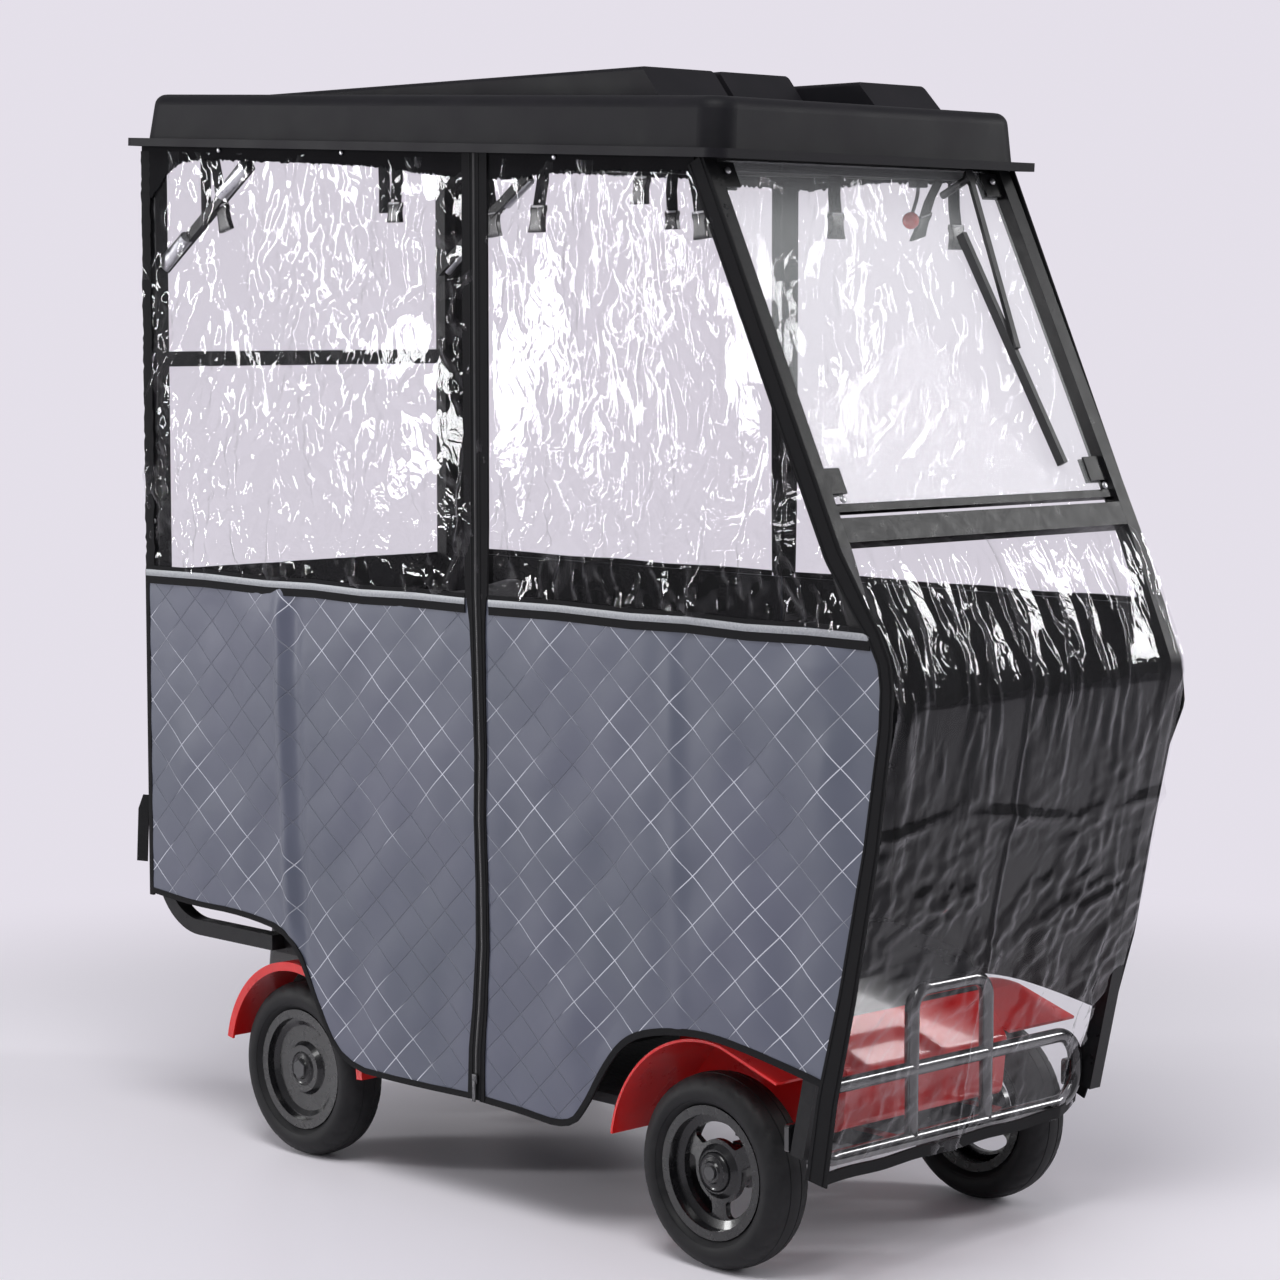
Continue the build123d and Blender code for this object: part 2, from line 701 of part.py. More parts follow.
# Roof rails: two long tubes under the brim with three cross tubes
rail_start = rear_post_x - canopy_tube / 2
rail_end = 470
with BuildPart() as roof_rails:
    for side in (-1, 1):
        with BuildSketch(roof_plane):
            with Locations(((rail_start + rail_end) / 2, side * canopy_half)):
                Rectangle(rail_end - rail_start, canopy_tube)
        extrude(amount=-canopy_tube)
    for station in (rail_start + canopy_tube / 2, -170, rail_end - canopy_tube / 2):
        with BuildSketch(roof_plane):
            with Locations((station, 0)):
                Rectangle(canopy_tube, 2 * canopy_half)
        extrude(amount=-canopy_tube)
roof_rails.part.label = "roof_rails"
export_step(roof_rails.part, "parts/roof_rails.step")

# Front pillars: bent tubes from the roof to the knee and back down to the bumper, tied by the crossbar
pillar_head = (486, brim_z(486) - 10)
pillar_waist = (764, 1040)
pillar_inset = 16
with BuildPart() as front_pillars:
    for side in (-1, 1):
        with BuildLine():
            FilletPolyline(
                (pillar_head[0], side * canopy_half, pillar_head[1]),
                (pillar_waist[0] - pillar_inset, side * canopy_half, pillar_waist[1]),
                (knee_x - pillar_inset, side * canopy_half, knee_z),
                (apron_foot_x - pillar_inset, side * canopy_half, 200),
                radius=40,
            )
        with BuildSketch(
            Plane(
                origin=(pillar_head[0], side * canopy_half, pillar_head[1]),
                x_dir=(0, 1, 0),
                z_dir=(
                    pillar_waist[0] - pillar_inset - pillar_head[0],
                    0,
                    pillar_waist[1] - pillar_head[1],
                ),
            )
        ):
            Rectangle(canopy_tube, canopy_tube)
        sweep()
front_pillars.part.label = "front_pillars"
export_step(front_pillars.part, "parts/front_pillars.step")

# Windscreen plane: it lies on the straight upper stretch of the pillars
screen_rake = Vector(pillar_waist[0] - pillar_inset - pillar_head[0], 0, pillar_waist[1] - pillar_head[1])
screen_down = screen_rake.normalized()
screen_out = Vector(-screen_down.Z, 0, screen_down.X)
screen_head = Vector(pillar_head[0], 0, pillar_head[1])


def screen_plane(outwards):
    """Plane parallel to the windscreen, outwards from the pillars' centre plane; local Y runs down the screen."""
    return Plane(origin=screen_head + screen_out * outwards, x_dir=(0, -1, 0), z_dir=screen_out)


screen_length = screen_rake.length
glass_thickness = 5
wiper_side = -221
wiper_along = 22
wiper_shaft_radius = 6
glass_inset = 2
glass_drop = 528
glass_half = canopy_half - canopy_tube / 2 - 14

# Screen crossbar: the wide tube between the pillars under the glass, with a thin sill rail above it
crossbar_height = 36
crossbar_lift = 12
sill_rail = 12
with BuildPart() as screen_crossbar:
    with BuildSketch(screen_plane(-canopy_tube / 2)):
        with Locations((0, screen_length - crossbar_lift - crossbar_height / 2)):
            Rectangle(2 * (canopy_half - canopy_tube / 2 - seat_gap), crossbar_height)
    extrude(amount=canopy_tube)
    with BuildSketch(screen_plane(-sill_rail / 2)):
        with Locations((0, glass_drop + seat_gap + sill_rail / 2)):
            Rectangle(2 * (canopy_half - canopy_tube / 2 - seat_gap), sill_rail)
    extrude(amount=sill_rail)
screen_crossbar.part.label = "screen_crossbar"
export_step(screen_crossbar.part, "parts/screen_crossbar.step")

# Windscreen: one flat safety-glass pane with rounded corners
with BuildPart() as windscreen_glass:
    with BuildSketch(screen_plane(-glass_thickness / 2)):
        with Locations((0, (glass_inset + glass_drop) / 2)):
            RectangleRounded(2 * glass_half, glass_drop - glass_inset, 18)
        with Locations((wiper_side, wiper_along)):
            Circle(wiper_shaft_radius + 2, mode=Mode.SUBTRACT)
    extrude(amount=glass_thickness)
windscreen_glass.part.label = "windscreen_glass"
export_step(windscreen_glass.part, "parts/windscreen_glass.step")

# Glass clamps: four folded square plates that grip the pane's corners and bolt to the pillars
clamp_size = 38
clamp_wall = 3
with BuildPart() as glass_clamps:
    for side in (-1, 1):
        for along in (glass_inset + 24, glass_drop - 34):
            reach = canopy_half - canopy_tube / 2 - seat_gap
            for level in (-glass_thickness / 2 - seat_gap - clamp_wall, glass_thickness / 2 + seat_gap):
                with BuildSketch(screen_plane(level)):
                    with Locations((side * (reach - clamp_size / 2), along)):
                        Rectangle(clamp_size, clamp_size)
                extrude(amount=clamp_wall)
            with BuildSketch(screen_plane(-glass_thickness / 2 - seat_gap - clamp_wall)):
                with Locations((side * (reach - clamp_wall / 2), along)):
                    Rectangle(clamp_wall, clamp_size)
            extrude(amount=glass_thickness + 2 * seat_gap + 2 * clamp_wall)
glass_clamps.part.label = "glass_clamps"
export_step(glass_clamps.part, "parts/glass_clamps.step")

# Wiper: a hand-driven shaft through the roof header with a flat arm and a rubber blade outside the glass
wiper_out = glass_thickness / 2 + 14
blade_out = glass_thickness / 2 + 1
with BuildPart() as wiper:
    with BuildSketch(screen_plane(-40)):
        with Locations((wiper_side, wiper_along)):
            Circle(wiper_shaft_radius)
    extrude(amount=40 + wiper_out)
    with BuildSketch(screen_plane(wiper_out)):
        with BuildLine():
            Line((wiper_side, wiper_along), (-187, 304))
        trace(line_width=10)
        with Locations((wiper_side, wiper_along)):
            Circle(11)
    extrude(amount=6)
    with BuildSketch(screen_plane(blade_out)):
        with BuildLine():
            Line((-166, 113), (-207, 487))
        trace(line_width=9)
    extrude(amount=wiper_out + 1 - blade_out)
wiper.part.label = "wiper"
export_step(wiper.part, "parts/wiper.step")

# Wiper hand lever: a thin chrome rod with a ball knob, hanging inside from the wiper's shaft
lever_y = 168
with BuildPart() as wiper_lever:
    lever_head = Vector(rail_end - canopy_tube / 2, lever_y, brim_z(rail_end) - canopy_tube - seat_gap)
    lever_ball = lever_head + Vector(16, -34, -62)
    with Locations(lever_head):
        Box(18, 26, 12, align=(Align.CENTER, Align.CENTER, Align.MAX))
    with BuildSketch(Plane(origin=lever_ball, z_dir=lever_head - lever_ball)):
        Circle(3)
    extrude(amount=(lever_head - lever_ball).length - 8)
    with Locations(lever_ball):
        Sphere(13)
wiper_lever.part.label = "wiper_lever"
export_step(wiper_lever.part, "parts/wiper_lever.step")

# Roof shell: a thin moulded cap with steep walls and three level hollow ribs that run out of its sloping top,
# the left one longer and lower, and a flat brim with a turned-down lip that sits on the rails
roof_middle = (brim_rear + brim_front) / 2
roof_length = brim_front - brim_rear
roof_wall_inset = 20
roof_top_inset = 28
roof_corner = 40
brim_corner = 24
roof_edge_radius = 20
rib_width = 148
rib_spacing = 160
rib_front = 277
rib_nose = 40
rib_sink = 2
rib_tail = 20
long_rib_front = 408
long_rib_top = 1708


def roof_top_z(x):
    """Height of the cap's sloping top at the station x."""
    return brim_z(x) + roof_height / cos(radians(roof_pitch))


def cap_station(z):
    """Station x at which the cap's sloping top has the height z."""
    return brim_rear + (roof_top_z(brim_rear) - z) / pitch_slope


ribs = [
    (-rib_spacing, rib_front, rib_top),
    (0, rib_front, rib_top),
    (rib_spacing, long_rib_front, long_rib_top),
]
with BuildPart() as roof_shell:
    for inset, lift, mode in ((0, 0, Mode.ADD), (body_wall, -body_wall, Mode.SUBTRACT)):
        with BuildPart(mode=Mode.PRIVATE) as cap:
            with BuildSketch(roof_plane.offset(lift)):
                with Locations((roof_middle, 0)):
                    RectangleRounded(
                        roof_length - 2 * (roof_wall_inset + inset),
                        2 * (brim_half - roof_wall_inset - inset),
                        roof_corner - inset,
                    )
            with BuildSketch(roof_plane.offset(roof_height + lift)):
                with Locations((roof_middle, 0)):
                    RectangleRounded(
                        roof_length - 2 * (roof_top_inset + inset),
                        2 * (brim_half - roof_top_inset - inset),
                        roof_corner - inset,
                    )
            loft()
            fillet(cap.faces().sort_by(Axis.Z)[-1].outer_wire().edges(), roof_edge_radius - inset)
        add(cap.part, mode=mode)
    for station, front, top in ribs:
        tail = cap_station(top) - rib_tail
        hollow_tail = cap_station(top - 3 * body_wall)
        with BuildPart(mode=Mode.PRIVATE) as rib:
            with BuildSketch(Plane.XZ.offset(-station - rib_width / 2)):
                with BuildLine():
                    Polyline(
                        (tail, roof_top_z(tail) - rib_sink),
                        (front + rib_nose, roof_top_z(front + rib_nose) - rib_sink),
                        (front, top),
                        (tail, top),
                        close=True,
                    )
                make_face()
            extrude(amount=rib_width)
            fillet(rib.edges().filter_by(Plane.XY).group_by(Axis.Z)[-1].filter_by(Axis.X), 6)
        add(rib.part)
        with BuildSketch(Plane.XZ.offset(-station - rib_width / 2 + body_wall)):
            with BuildLine():
                hollow_nose = front + rib_nose - 2 * body_wall
                Polyline(
                    (hollow_tail, roof_top_z(hollow_tail) - 2 * body_wall),
                    (hollow_nose, roof_top_z(hollow_nose) - 2 * body_wall),
                    (front - body_wall, top - body_wall),
                    (hollow_tail, top - body_wall),
                    close=True,
                )
            make_face()
        extrude(amount=rib_width - 2 * body_wall, mode=Mode.SUBTRACT)
    with BuildSketch(roof_plane):
        with Locations((roof_middle, 0)):
            RectangleRounded(roof_length, 2 * brim_half, brim_corner)
        with Locations(((rail_start + rail_end) / 2, 0)):
            Rectangle(
                rail_end - rail_start - 2 * canopy_tube + 12,
                2 * canopy_half - canopy_tube - 8,
                mode=Mode.SUBTRACT,
            )
    extrude(amount=brim_thickness)
    with BuildSketch(roof_plane):
        with Locations((roof_middle, 0)):
            RectangleRounded(roof_length, 2 * brim_half, brim_corner)
            RectangleRounded(
                roof_length - 2 * body_wall,
                2 * (brim_half - body_wall),
                brim_corner - body_wall,
                mode=Mode.SUBTRACT,
            )
    extrude(amount=-brim_lip)
roof_shell.part.label = "roof_shell"
export_step(roof_shell.part, "parts/roof_shell.step")

# Front bumper: a racetrack tube loop with two uprights, a small hoop above it, a bracket to each rail and a
# flat plate out to each front foot of the canopy
bumper_x = 678
bumper_tube = 22
bumper_inset = 41
bumper_half = cover_half - bumper_inset
bumper_low = 184
bumper_high = 286
hoop_half = 82
hoop_top = 400
with BuildPart() as front_bumper:
    with BuildLine():
        loop = FilletPolyline(
            (bumper_x, bumper_half, bumper_low),
            (bumper_x, bumper_half, bumper_high),
            (bumper_x, -bumper_half, bumper_high),
            (bumper_x, -bumper_half, bumper_low),
            radius=44,
            close=True,
        )
    with BuildSketch(Plane(origin=loop @ 0, z_dir=loop % 0)):
        Circle(bumper_tube / 2)
    sweep()
    for station in (-hoop_half, hoop_half):
        with Locations((bumper_x, station, (bumper_low + bumper_high) / 2)):
            Cylinder(bumper_tube / 2 - 1, bumper_high - bumper_low)
    with BuildLine():
        FilletPolyline(
            (bumper_x, -hoop_half, bumper_high),
            (bumper_x, -hoop_half, hoop_top),
            (bumper_x, hoop_half, hoop_top),
            (bumper_x, hoop_half, bumper_high),
            radius=30,
        )
    with BuildSketch(Plane(origin=(bumper_x, -hoop_half, bumper_high), z_dir=(0, 0, 1))):
        Circle(bumper_tube / 2)
    sweep()
    for side in (-1, 1):
        with Locations(((rail_front + bumper_x) / 2, side * rail_half, rail_bottom + rail_height / 2)):
            Box(bumper_x - rail_front, rail_width - 6, rail_height - 8)
        with BuildSketch(Plane.YZ.offset(bumper_x - 14.5)):
            with Locations((side * (bumper_half + canopy_half) / 2, 224)):
                RectangleRounded(canopy_half - bumper_half + 30, 40, 5)
        extrude(amount=8)
front_bumper.part.label = "front_bumper"
export_step(front_bumper.part, "parts/front_bumper.step")

# Lamps: a round headlamp on the leg shield and two lamps on the rear body
lamp_along = 520
lamp_radius = 62
lamp_depth = 26
tail_lamp_y = 150
tail_lamp_z = 300
with BuildPart() as headlamp:
    with BuildSketch(shield_plane.offset(shield_depth + seat_gap)):
        with Locations((0, lamp_along)):
            Circle(lamp_radius)
    extrude(amount=lamp_depth)
    with BuildSketch(shield_plane.offset(shield_depth + seat_gap + lamp_depth)):
        with Locations((0, lamp_along)):
            Circle(lamp_radius - 6)
    extrude(amount=10, taper=30)
headlamp.part.label = "headlamp"
export_step(headlamp.part, "parts/headlamp.step")

with BuildPart() as tail_lamps:
    for side in (-1, 1):
        with BuildSketch(Plane.YZ.offset(rear_body_rear - 14)):
            with Locations((side * tail_lamp_y, tail_lamp_z)):
                RectangleRounded(70, 46, 10)
        extrude(amount=20)
tail_lamps.part.label = "tail_lamps"
export_step(tail_lamps.part, "parts/tail_lamps.step")

# Rain cover: quilted lower panels, clear upper windows, zippers, reflective strips and edge bands
window_top = -16
cover_rear = rear_post_x - canopy_tube / 2 - seat_gap - quilt_thickness
seam_gap = 2
sill = strip_z
for cover_name, side in (("right", -1), ("left", 1)):
    cover_plane = Plane.XZ.offset(-side * (cover_half + quilt_thickness / 2))
    with BuildPart() as side_quilt:
        with BuildSketch(cover_plane):
            with BuildLine():
                Polyline(
                    (cover_rear, sill),
                    (zipper_x - seam_gap / 2, sill),
                    (zipper_x - seam_gap / 2, 172),
                    (-290, 168),
                    (-372, 268),
                    (-432, 365),
                    (-560, 382),
                    (cover_rear, 390),
                    close=True,
                )
            make_face()
            with BuildLine():
                Polyline(
                    (zipper_x + seam_gap / 2, sill),
                    (806, sill),
                    (806, 860),
                    (796, 780),
                    (744, 500),
                    (700, 300),
                    (600, 346),
                    (402, 330),
                    (297, 255),
                    (232, 162),
                    (zipper_x + seam_gap / 2, 171),
                    close=True,
                )
            make_face()
        extrude(amount=side * quilt_thickness)
    side_quilt.part.label = f"side_quilt_{cover_name}"
    export_step(side_quilt.part, f"parts/side_quilt_{cover_name}.step")

    with BuildPart() as side_window:
        with BuildSketch(Plane.XZ.offset(-side * (cover_half + film_thickness / 2))):
            with BuildLine():
                Polyline(
                    (cover_rear, sill + seat_gap),
                    (zipper_x - seam_gap / 2, sill + seat_gap),
                    (zipper_x - seam_gap / 2, brim_z(zipper_x) + window_top),
                    (cover_rear, brim_z(cover_rear) + window_top),
                    close=True,
                )
            make_face()
            with BuildLine():
                Polyline(
                    (zipper_x + seam_gap / 2, sill + seat_gap),
                    (780, sill + seat_gap),
                    (pillar_waist[0] - 22, pillar_waist[1]),
                    (486, brim_z(486) + window_top),
                    (zipper_x + seam_gap / 2, brim_z(zipper_x) + window_top),
                    close=True,
                )
            make_face()
        extrude(amount=side * film_thickness)
    side_window.part.label = f"side_window_{cover_name}"
    export_step(side_window.part, f"parts/side_window_{cover_name}.step")

band_out = quilt_thickness / 2 + seat_gap
with BuildPart() as zippers:
    for side in (-1, 1):
        with Locations((zipper_x, side * (cover_half + band_out + 1.5), 172)):
            Box(zipper_width, 3, zipper_top - 172, align=(Align.CENTER, Align.CENTER, Align.MIN))
zippers.part.label = "zippers"
export_step(zippers.part, "parts/zippers.step")

with BuildPart() as reflective_strips:
    for side in (-1, 1):
        for start, end in ((cover_rear, zipper_x - zipper_width / 2 - 1), (zipper_x + zipper_width / 2 + 1, 768)):
            with Locations(((start + end) / 2, side * (cover_half + band_out + 1), strip_z - 8)):
                Box(end - start, 2, 26)
reflective_strips.part.label = "reflective_strips"
export_step(reflective_strips.part, "parts/reflective_strips.step")

# Rear cover: a quilted panel below and a clear window above, hung behind the rear posts
with BuildPart() as rear_quilt:
    with Locations((cover_rear + quilt_thickness / 2, 0, 391)):
        Box(
            quilt_thickness,
            2 * (cover_half - quilt_thickness / 2 - seat_gap),
            strip_z - 391,
            align=(Align.CENTER, Align.CENTER, Align.MIN),
        )
rear_quilt.part.label = "rear_quilt"
export_step(rear_quilt.part, "parts/rear_quilt.step")

with BuildPart() as rear_window:
    with Locations((cover_rear + quilt_thickness - film_thickness / 2, 0, strip_z + seat_gap)):
        Box(
            film_thickness,
            2 * (cover_half - quilt_thickness / 2 - seat_gap),
            brim_z(cover_rear) + window_top - strip_z,
            align=(Align.CENTER, Align.CENTER, Align.MIN),
        )
rear_window.part.label = "rear_window"
export_step(rear_window.part, "parts/rear_window.step")

# Front apron: the clear sheet from the crossbar over the knee and down to the bumper
apron_half = cover_half - quilt_thickness / 2 - seat_gap
with BuildPart() as front_apron:
    with BuildSketch(Plane.XZ.offset(-apron_half)):
        with BuildLine():
            FilletPolyline(
                (pillar_waist[0] - 10, pillar_waist[1] + 20),
                (pillar_waist[0], pillar_waist[1]),
                (knee_x, knee_z),
                (apron_foot_x, 200),
                (apron_foot_x - 5, apron_foot_z),
                radius=40,
            )
        trace(line_width=film_thickness)
    extrude(amount=2 * apron_half)
front_apron.part.label = "front_apron"
export_step(front_apron.part, "parts/front_apron.step")

# Edge bands: black webbing that binds the cover's front edges, from the roof down the pillars to the ground edge
with BuildPart() as edge_bands:
    for side in (-1, 1):
        with BuildSketch(Plane.XZ.offset(-side * (cover_half + band_out))):
            with BuildLine():
                FilletPolyline(
                    (pillar_head[0] + 4, pillar_head[1] - 10),
                    (pillar_waist[0] - 12, pillar_waist[1]),
                    (knee_x - 12, knee_z),
                    (apron_foot_x - 12, 200),
                    (apron_foot_x - 17, apron_foot_z),
                    radius=40,
                )
            trace(line_width=30)
        extrude(amount=-side * 3)
edge_bands.part.label = "edge_bands"
export_step(edge_bands.part, "parts/edge_bands.step")
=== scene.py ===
from math import cos, pi, radians, sin, tan

import bpy
import numpy as np
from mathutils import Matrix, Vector


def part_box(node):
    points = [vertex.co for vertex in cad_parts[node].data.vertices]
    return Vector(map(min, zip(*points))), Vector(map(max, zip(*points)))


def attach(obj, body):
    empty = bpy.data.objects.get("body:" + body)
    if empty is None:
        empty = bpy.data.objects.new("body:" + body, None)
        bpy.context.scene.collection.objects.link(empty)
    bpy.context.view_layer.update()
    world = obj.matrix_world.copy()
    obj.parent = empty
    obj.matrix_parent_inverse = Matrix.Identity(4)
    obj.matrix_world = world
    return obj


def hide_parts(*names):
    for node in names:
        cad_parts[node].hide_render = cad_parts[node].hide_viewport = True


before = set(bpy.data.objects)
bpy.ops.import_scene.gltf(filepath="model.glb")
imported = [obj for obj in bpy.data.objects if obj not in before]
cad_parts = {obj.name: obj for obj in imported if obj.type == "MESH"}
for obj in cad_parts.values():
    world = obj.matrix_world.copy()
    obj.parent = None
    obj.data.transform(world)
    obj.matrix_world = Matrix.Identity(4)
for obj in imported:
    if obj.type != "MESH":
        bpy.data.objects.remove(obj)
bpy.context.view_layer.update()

# Camera: a long lens at a standing viewer's chest height, off the right front corner.
bpy.ops.object.camera_add(
    location=(3.862, -3.701, 1.360), rotation=(radians(90 - 5.42), 0, radians(135.98 - 90))
)
camera = bpy.context.object
camera.name = "camera"
camera.data.sensor_width = 36
camera.data.lens = 95.74
camera.data.clip_end = 100
scene = bpy.context.scene
scene.camera = camera
scene.view_settings.view_transform = "Standard"


# Studio: a pale floor that takes the shadow near the wheels and fades into an even pale backdrop,
# a soft grey-white room and three softboxes.
def new_material(name, colour, roughness, **sockets):
    """A material with one Principled shader; the constants are set on its own sockets."""
    material = bpy.data.materials.new(name)
    material.use_nodes = True
    shader = material.node_tree.nodes["Principled BSDF"]
    shader.inputs["Base Color"].default_value = (*colour, 1)
    shader.inputs["Roughness"].default_value = roughness
    for socket, value in sockets.items():
        shader.inputs[socket.replace("_", " ")].default_value = value
    return material


def add_node(material, kind, links=(), values=(), **settings):
    """A node of this kind, with (socket, value) set and (socket, output) linked."""
    node = material.node_tree.nodes.new("ShaderNode" + kind)
    for key, value in settings.items():
        setattr(node, key, value)
    for socket, value in values:
        node.inputs[socket].default_value = value
    for socket, output in links:
        material.node_tree.links.new(output, node.inputs[socket])
    return node


def shader_of(material):
    """The material's Principled shader."""
    return material.node_tree.nodes["Principled BSDF"]


def join(material, output, socket):
    """Links an output to a socket of any node of the material."""
    material.node_tree.links.new(output, socket)


def link(material, output, socket):
    """Links an output to the named socket of the material's Principled shader."""
    join(material, output, shader_of(material).inputs[socket])


def surface(material, output):
    """Makes output the surface of the material."""
    join(material, output, material.node_tree.nodes["Material Output"].inputs["Surface"])


def object_place(material):
    """The piece's own Object coordinates."""
    return add_node(material, "TexCoord").outputs["Object"]


def only(obj):
    """Deselects everything and makes obj the one selected and active object."""
    bpy.ops.object.select_all(action="DESELECT")
    obj.select_set(True)
    bpy.context.view_layer.objects.active = obj


def start(name, kind, **settings):
    """Deselects everything and adds a mesh primitive of this kind under its name."""
    bpy.ops.object.select_all(action="DESELECT")
    getattr(bpy.ops.mesh, f"primitive_{kind}_add")(**settings)
    bpy.context.object.name = name
    return bpy.context.object


def reshape(obj, **steps):
    """Runs mesh operators on the whole of obj in edit mode, each with its settings."""
    only(obj)
    bpy.ops.object.mode_set(mode="EDIT")
    for operator, settings in steps.items():
        bpy.ops.mesh.select_all(action="SELECT")
        getattr(bpy.ops.mesh, operator)(**settings)
    bpy.ops.object.mode_set(mode="OBJECT")


backdrop_colour = (0.78, 0.745, 0.82)
floor_colour = (0.94, 0.91, 0.97)
floor = start("studio_floor", "circle", vertices=96, radius=16, fill_type="NGON")
floor_paint = new_material("pale_floor", floor_colour, 0.42)
distance = add_node(floor_paint, "VectorMath", [(0, object_place(floor_paint))], operation="LENGTH")
fade = add_node(
    floor_paint, "MapRange", [("Value", distance.outputs["Value"])],
    [("From Min", 1.7), ("From Max", 2.9)], interpolation_type="SMOOTHSTEP",
)
ray = add_node(floor_paint, "LightPath")
seen = add_node(floor_paint, "Math", [(0, ray.outputs["Is Camera Ray"]), (1, ray.outputs["Is Transmission Ray"])],
                operation="MAXIMUM")
share = add_node(floor_paint, "Math", [(0, fade.outputs["Result"]), (1, seen.outputs["Value"])],
                 operation="MULTIPLY")
glow = add_node(floor_paint, "Emission", values=[("Color", (*backdrop_colour, 1)), ("Strength", 1.0)])
blend = add_node(
    floor_paint, "MixShader",
    [("Fac", share.outputs["Value"]), (1, shader_of(floor_paint).outputs["BSDF"]), (2, glow.outputs["Emission"])],
)
surface(floor_paint, blend.outputs["Shader"])
floor.data.materials.append(floor_paint)

world = bpy.data.worlds.new("soft_room")
world.use_nodes = True
scene.world = world
room = world.node_tree
room_light = room.nodes["Background"]
room_light.inputs["Color"].default_value = (0.93, 0.92, 0.97, 1)
room_light.inputs["Strength"].default_value = 0.36
shown = room.nodes.new("ShaderNodeBackground")
shown.inputs["Color"].default_value = (*backdrop_colour, 1)
shown.inputs["Strength"].default_value = 1.0
room_ray = room.nodes.new("ShaderNodeLightPath")
camera_or_glass = room.nodes.new("ShaderNodeMath")
camera_or_glass.operation = "MAXIMUM"
room.links.new(room_ray.outputs["Is Camera Ray"], camera_or_glass.inputs[0])
room.links.new(room_ray.outputs["Is Transmission Ray"], camera_or_glass.inputs[1])
choose = room.nodes.new("ShaderNodeMixShader")
room.links.new(camera_or_glass.outputs["Value"], choose.inputs["Fac"])
room.links.new(room_light.outputs["Background"], choose.inputs[1])
room.links.new(shown.outputs["Background"], choose.inputs[2])
room.links.new(choose.outputs["Shader"], room.nodes["World Output"].inputs["Surface"])

for box_name, spot, wide, tall, power in (
    ("softbox_rear_right", (-4.1, -3.9, 1.75), 0.62, 1.8, 112),
    ("softbox_front", (3.1, 3.9, 2.9), 0.55, 2.2, 100),
    ("softbox_over", (1.6, -2.2, 5.0), 2.4, 2.4, 160),
):
    bpy.ops.object.light_add(type="AREA", location=spot)
    lamp = bpy.context.object
    lamp.name = box_name
    lamp.data.shape = "RECTANGLE"
    lamp.data.size = wide
    lamp.data.size_y = tall
    lamp.data.energy = power
    lamp.rotation_euler = (Vector((0, 0, 0.9)) - Vector(spot)).to_track_quat("-Z", "Y").to_euler()


# Tyres: low scooter tyres of black rubber, with moulded rings on the wall and a block at each shoulder.
# Each is turned from its section and slipped over its rim.
merge_distance = 0.00005


def turned(name, section, hub, side, steps):
    """A closed section of (out from the wheel's middle, radius) points spun round the axle at hub."""
    obj = start(name, "circle", vertices=len(section), radius=1)
    for vertex, (out, radius) in zip(obj.data.vertices, section):
        vertex.co = (hub[0], hub[1] + side * out, hub[2] + radius)
    reshape(obj, spin={"steps": steps, "angle": 2 * pi, "center": hub, "axis": (0, 1, 0)},
            remove_doubles={"threshold": merge_distance}, normals_make_consistent={"inside": False})
    return obj


def settle(obj, material, body, angle=40):
    """Applies obj's place, shades it, gives it its material and lets it ride on its body."""
    only(obj)
    bpy.ops.object.transform_apply(location=True, rotation=True, scale=True)
    bpy.ops.object.shade_smooth_by_angle(angle=radians(angle))
    obj.data.materials.clear()
    obj.data.materials.append(material)
    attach(obj, body)
    return obj


def noise(material, scale, detail, place=None, **values):
    """Noise of this scale and detail, in Object coordinates unless a place is given."""
    settings = [("Scale", scale), ("Detail", detail)] + list(values.items())
    return add_node(material, "TexNoise", [("Vector", place or object_place(material))], settings).outputs["Fac"]


def ramp(material, share, low, dark, high, light):
    """A colour between dark at the share low and light at the share high."""
    node = add_node(material, "ValToRGB", [("Fac", share)])
    for element, level, colour in zip(node.color_ramp.elements, (low, high), (dark, light)):
        element.position = level
        element.color = (*colour, 1)
    return node.outputs["Color"]


def remap(material, value, low, high, to_low, to_high):
    """The value mapped from low..high to to_low..to_high."""
    return add_node(material, "MapRange", [("Value", value)],
                    [("From Min", low), ("From Max", high), ("To Min", to_low), ("To Max", to_high)]).outputs["Result"]


def relief(material, height, strength, distance):
    """Bump on the material's shader."""
    node = add_node(material, "Bump", [("Height", height)], [("Strength", strength), ("Distance", distance)])
    link(material, node.outputs["Normal"], "Normal")
    return node.outputs["Normal"]


def speckled(name, scale, light, dark, rough, bump=0.0, bump_scale=400.0, **sockets):
    """A material with fine colour and gloss variation, and pits if bump is given."""
    material = new_material(name, light, rough[0], **sockets)
    grain = noise(material, scale, 6.0, Roughness=0.62)
    link(material, ramp(material, grain, 0.32, dark, 0.7, light), "Base Color")
    link(material, remap(material, grain, 0.3, 0.7, *rough), "Roughness")
    if bump:
        relief(material, noise(material, bump_scale, 3.0), bump, 0.0006)
    return material


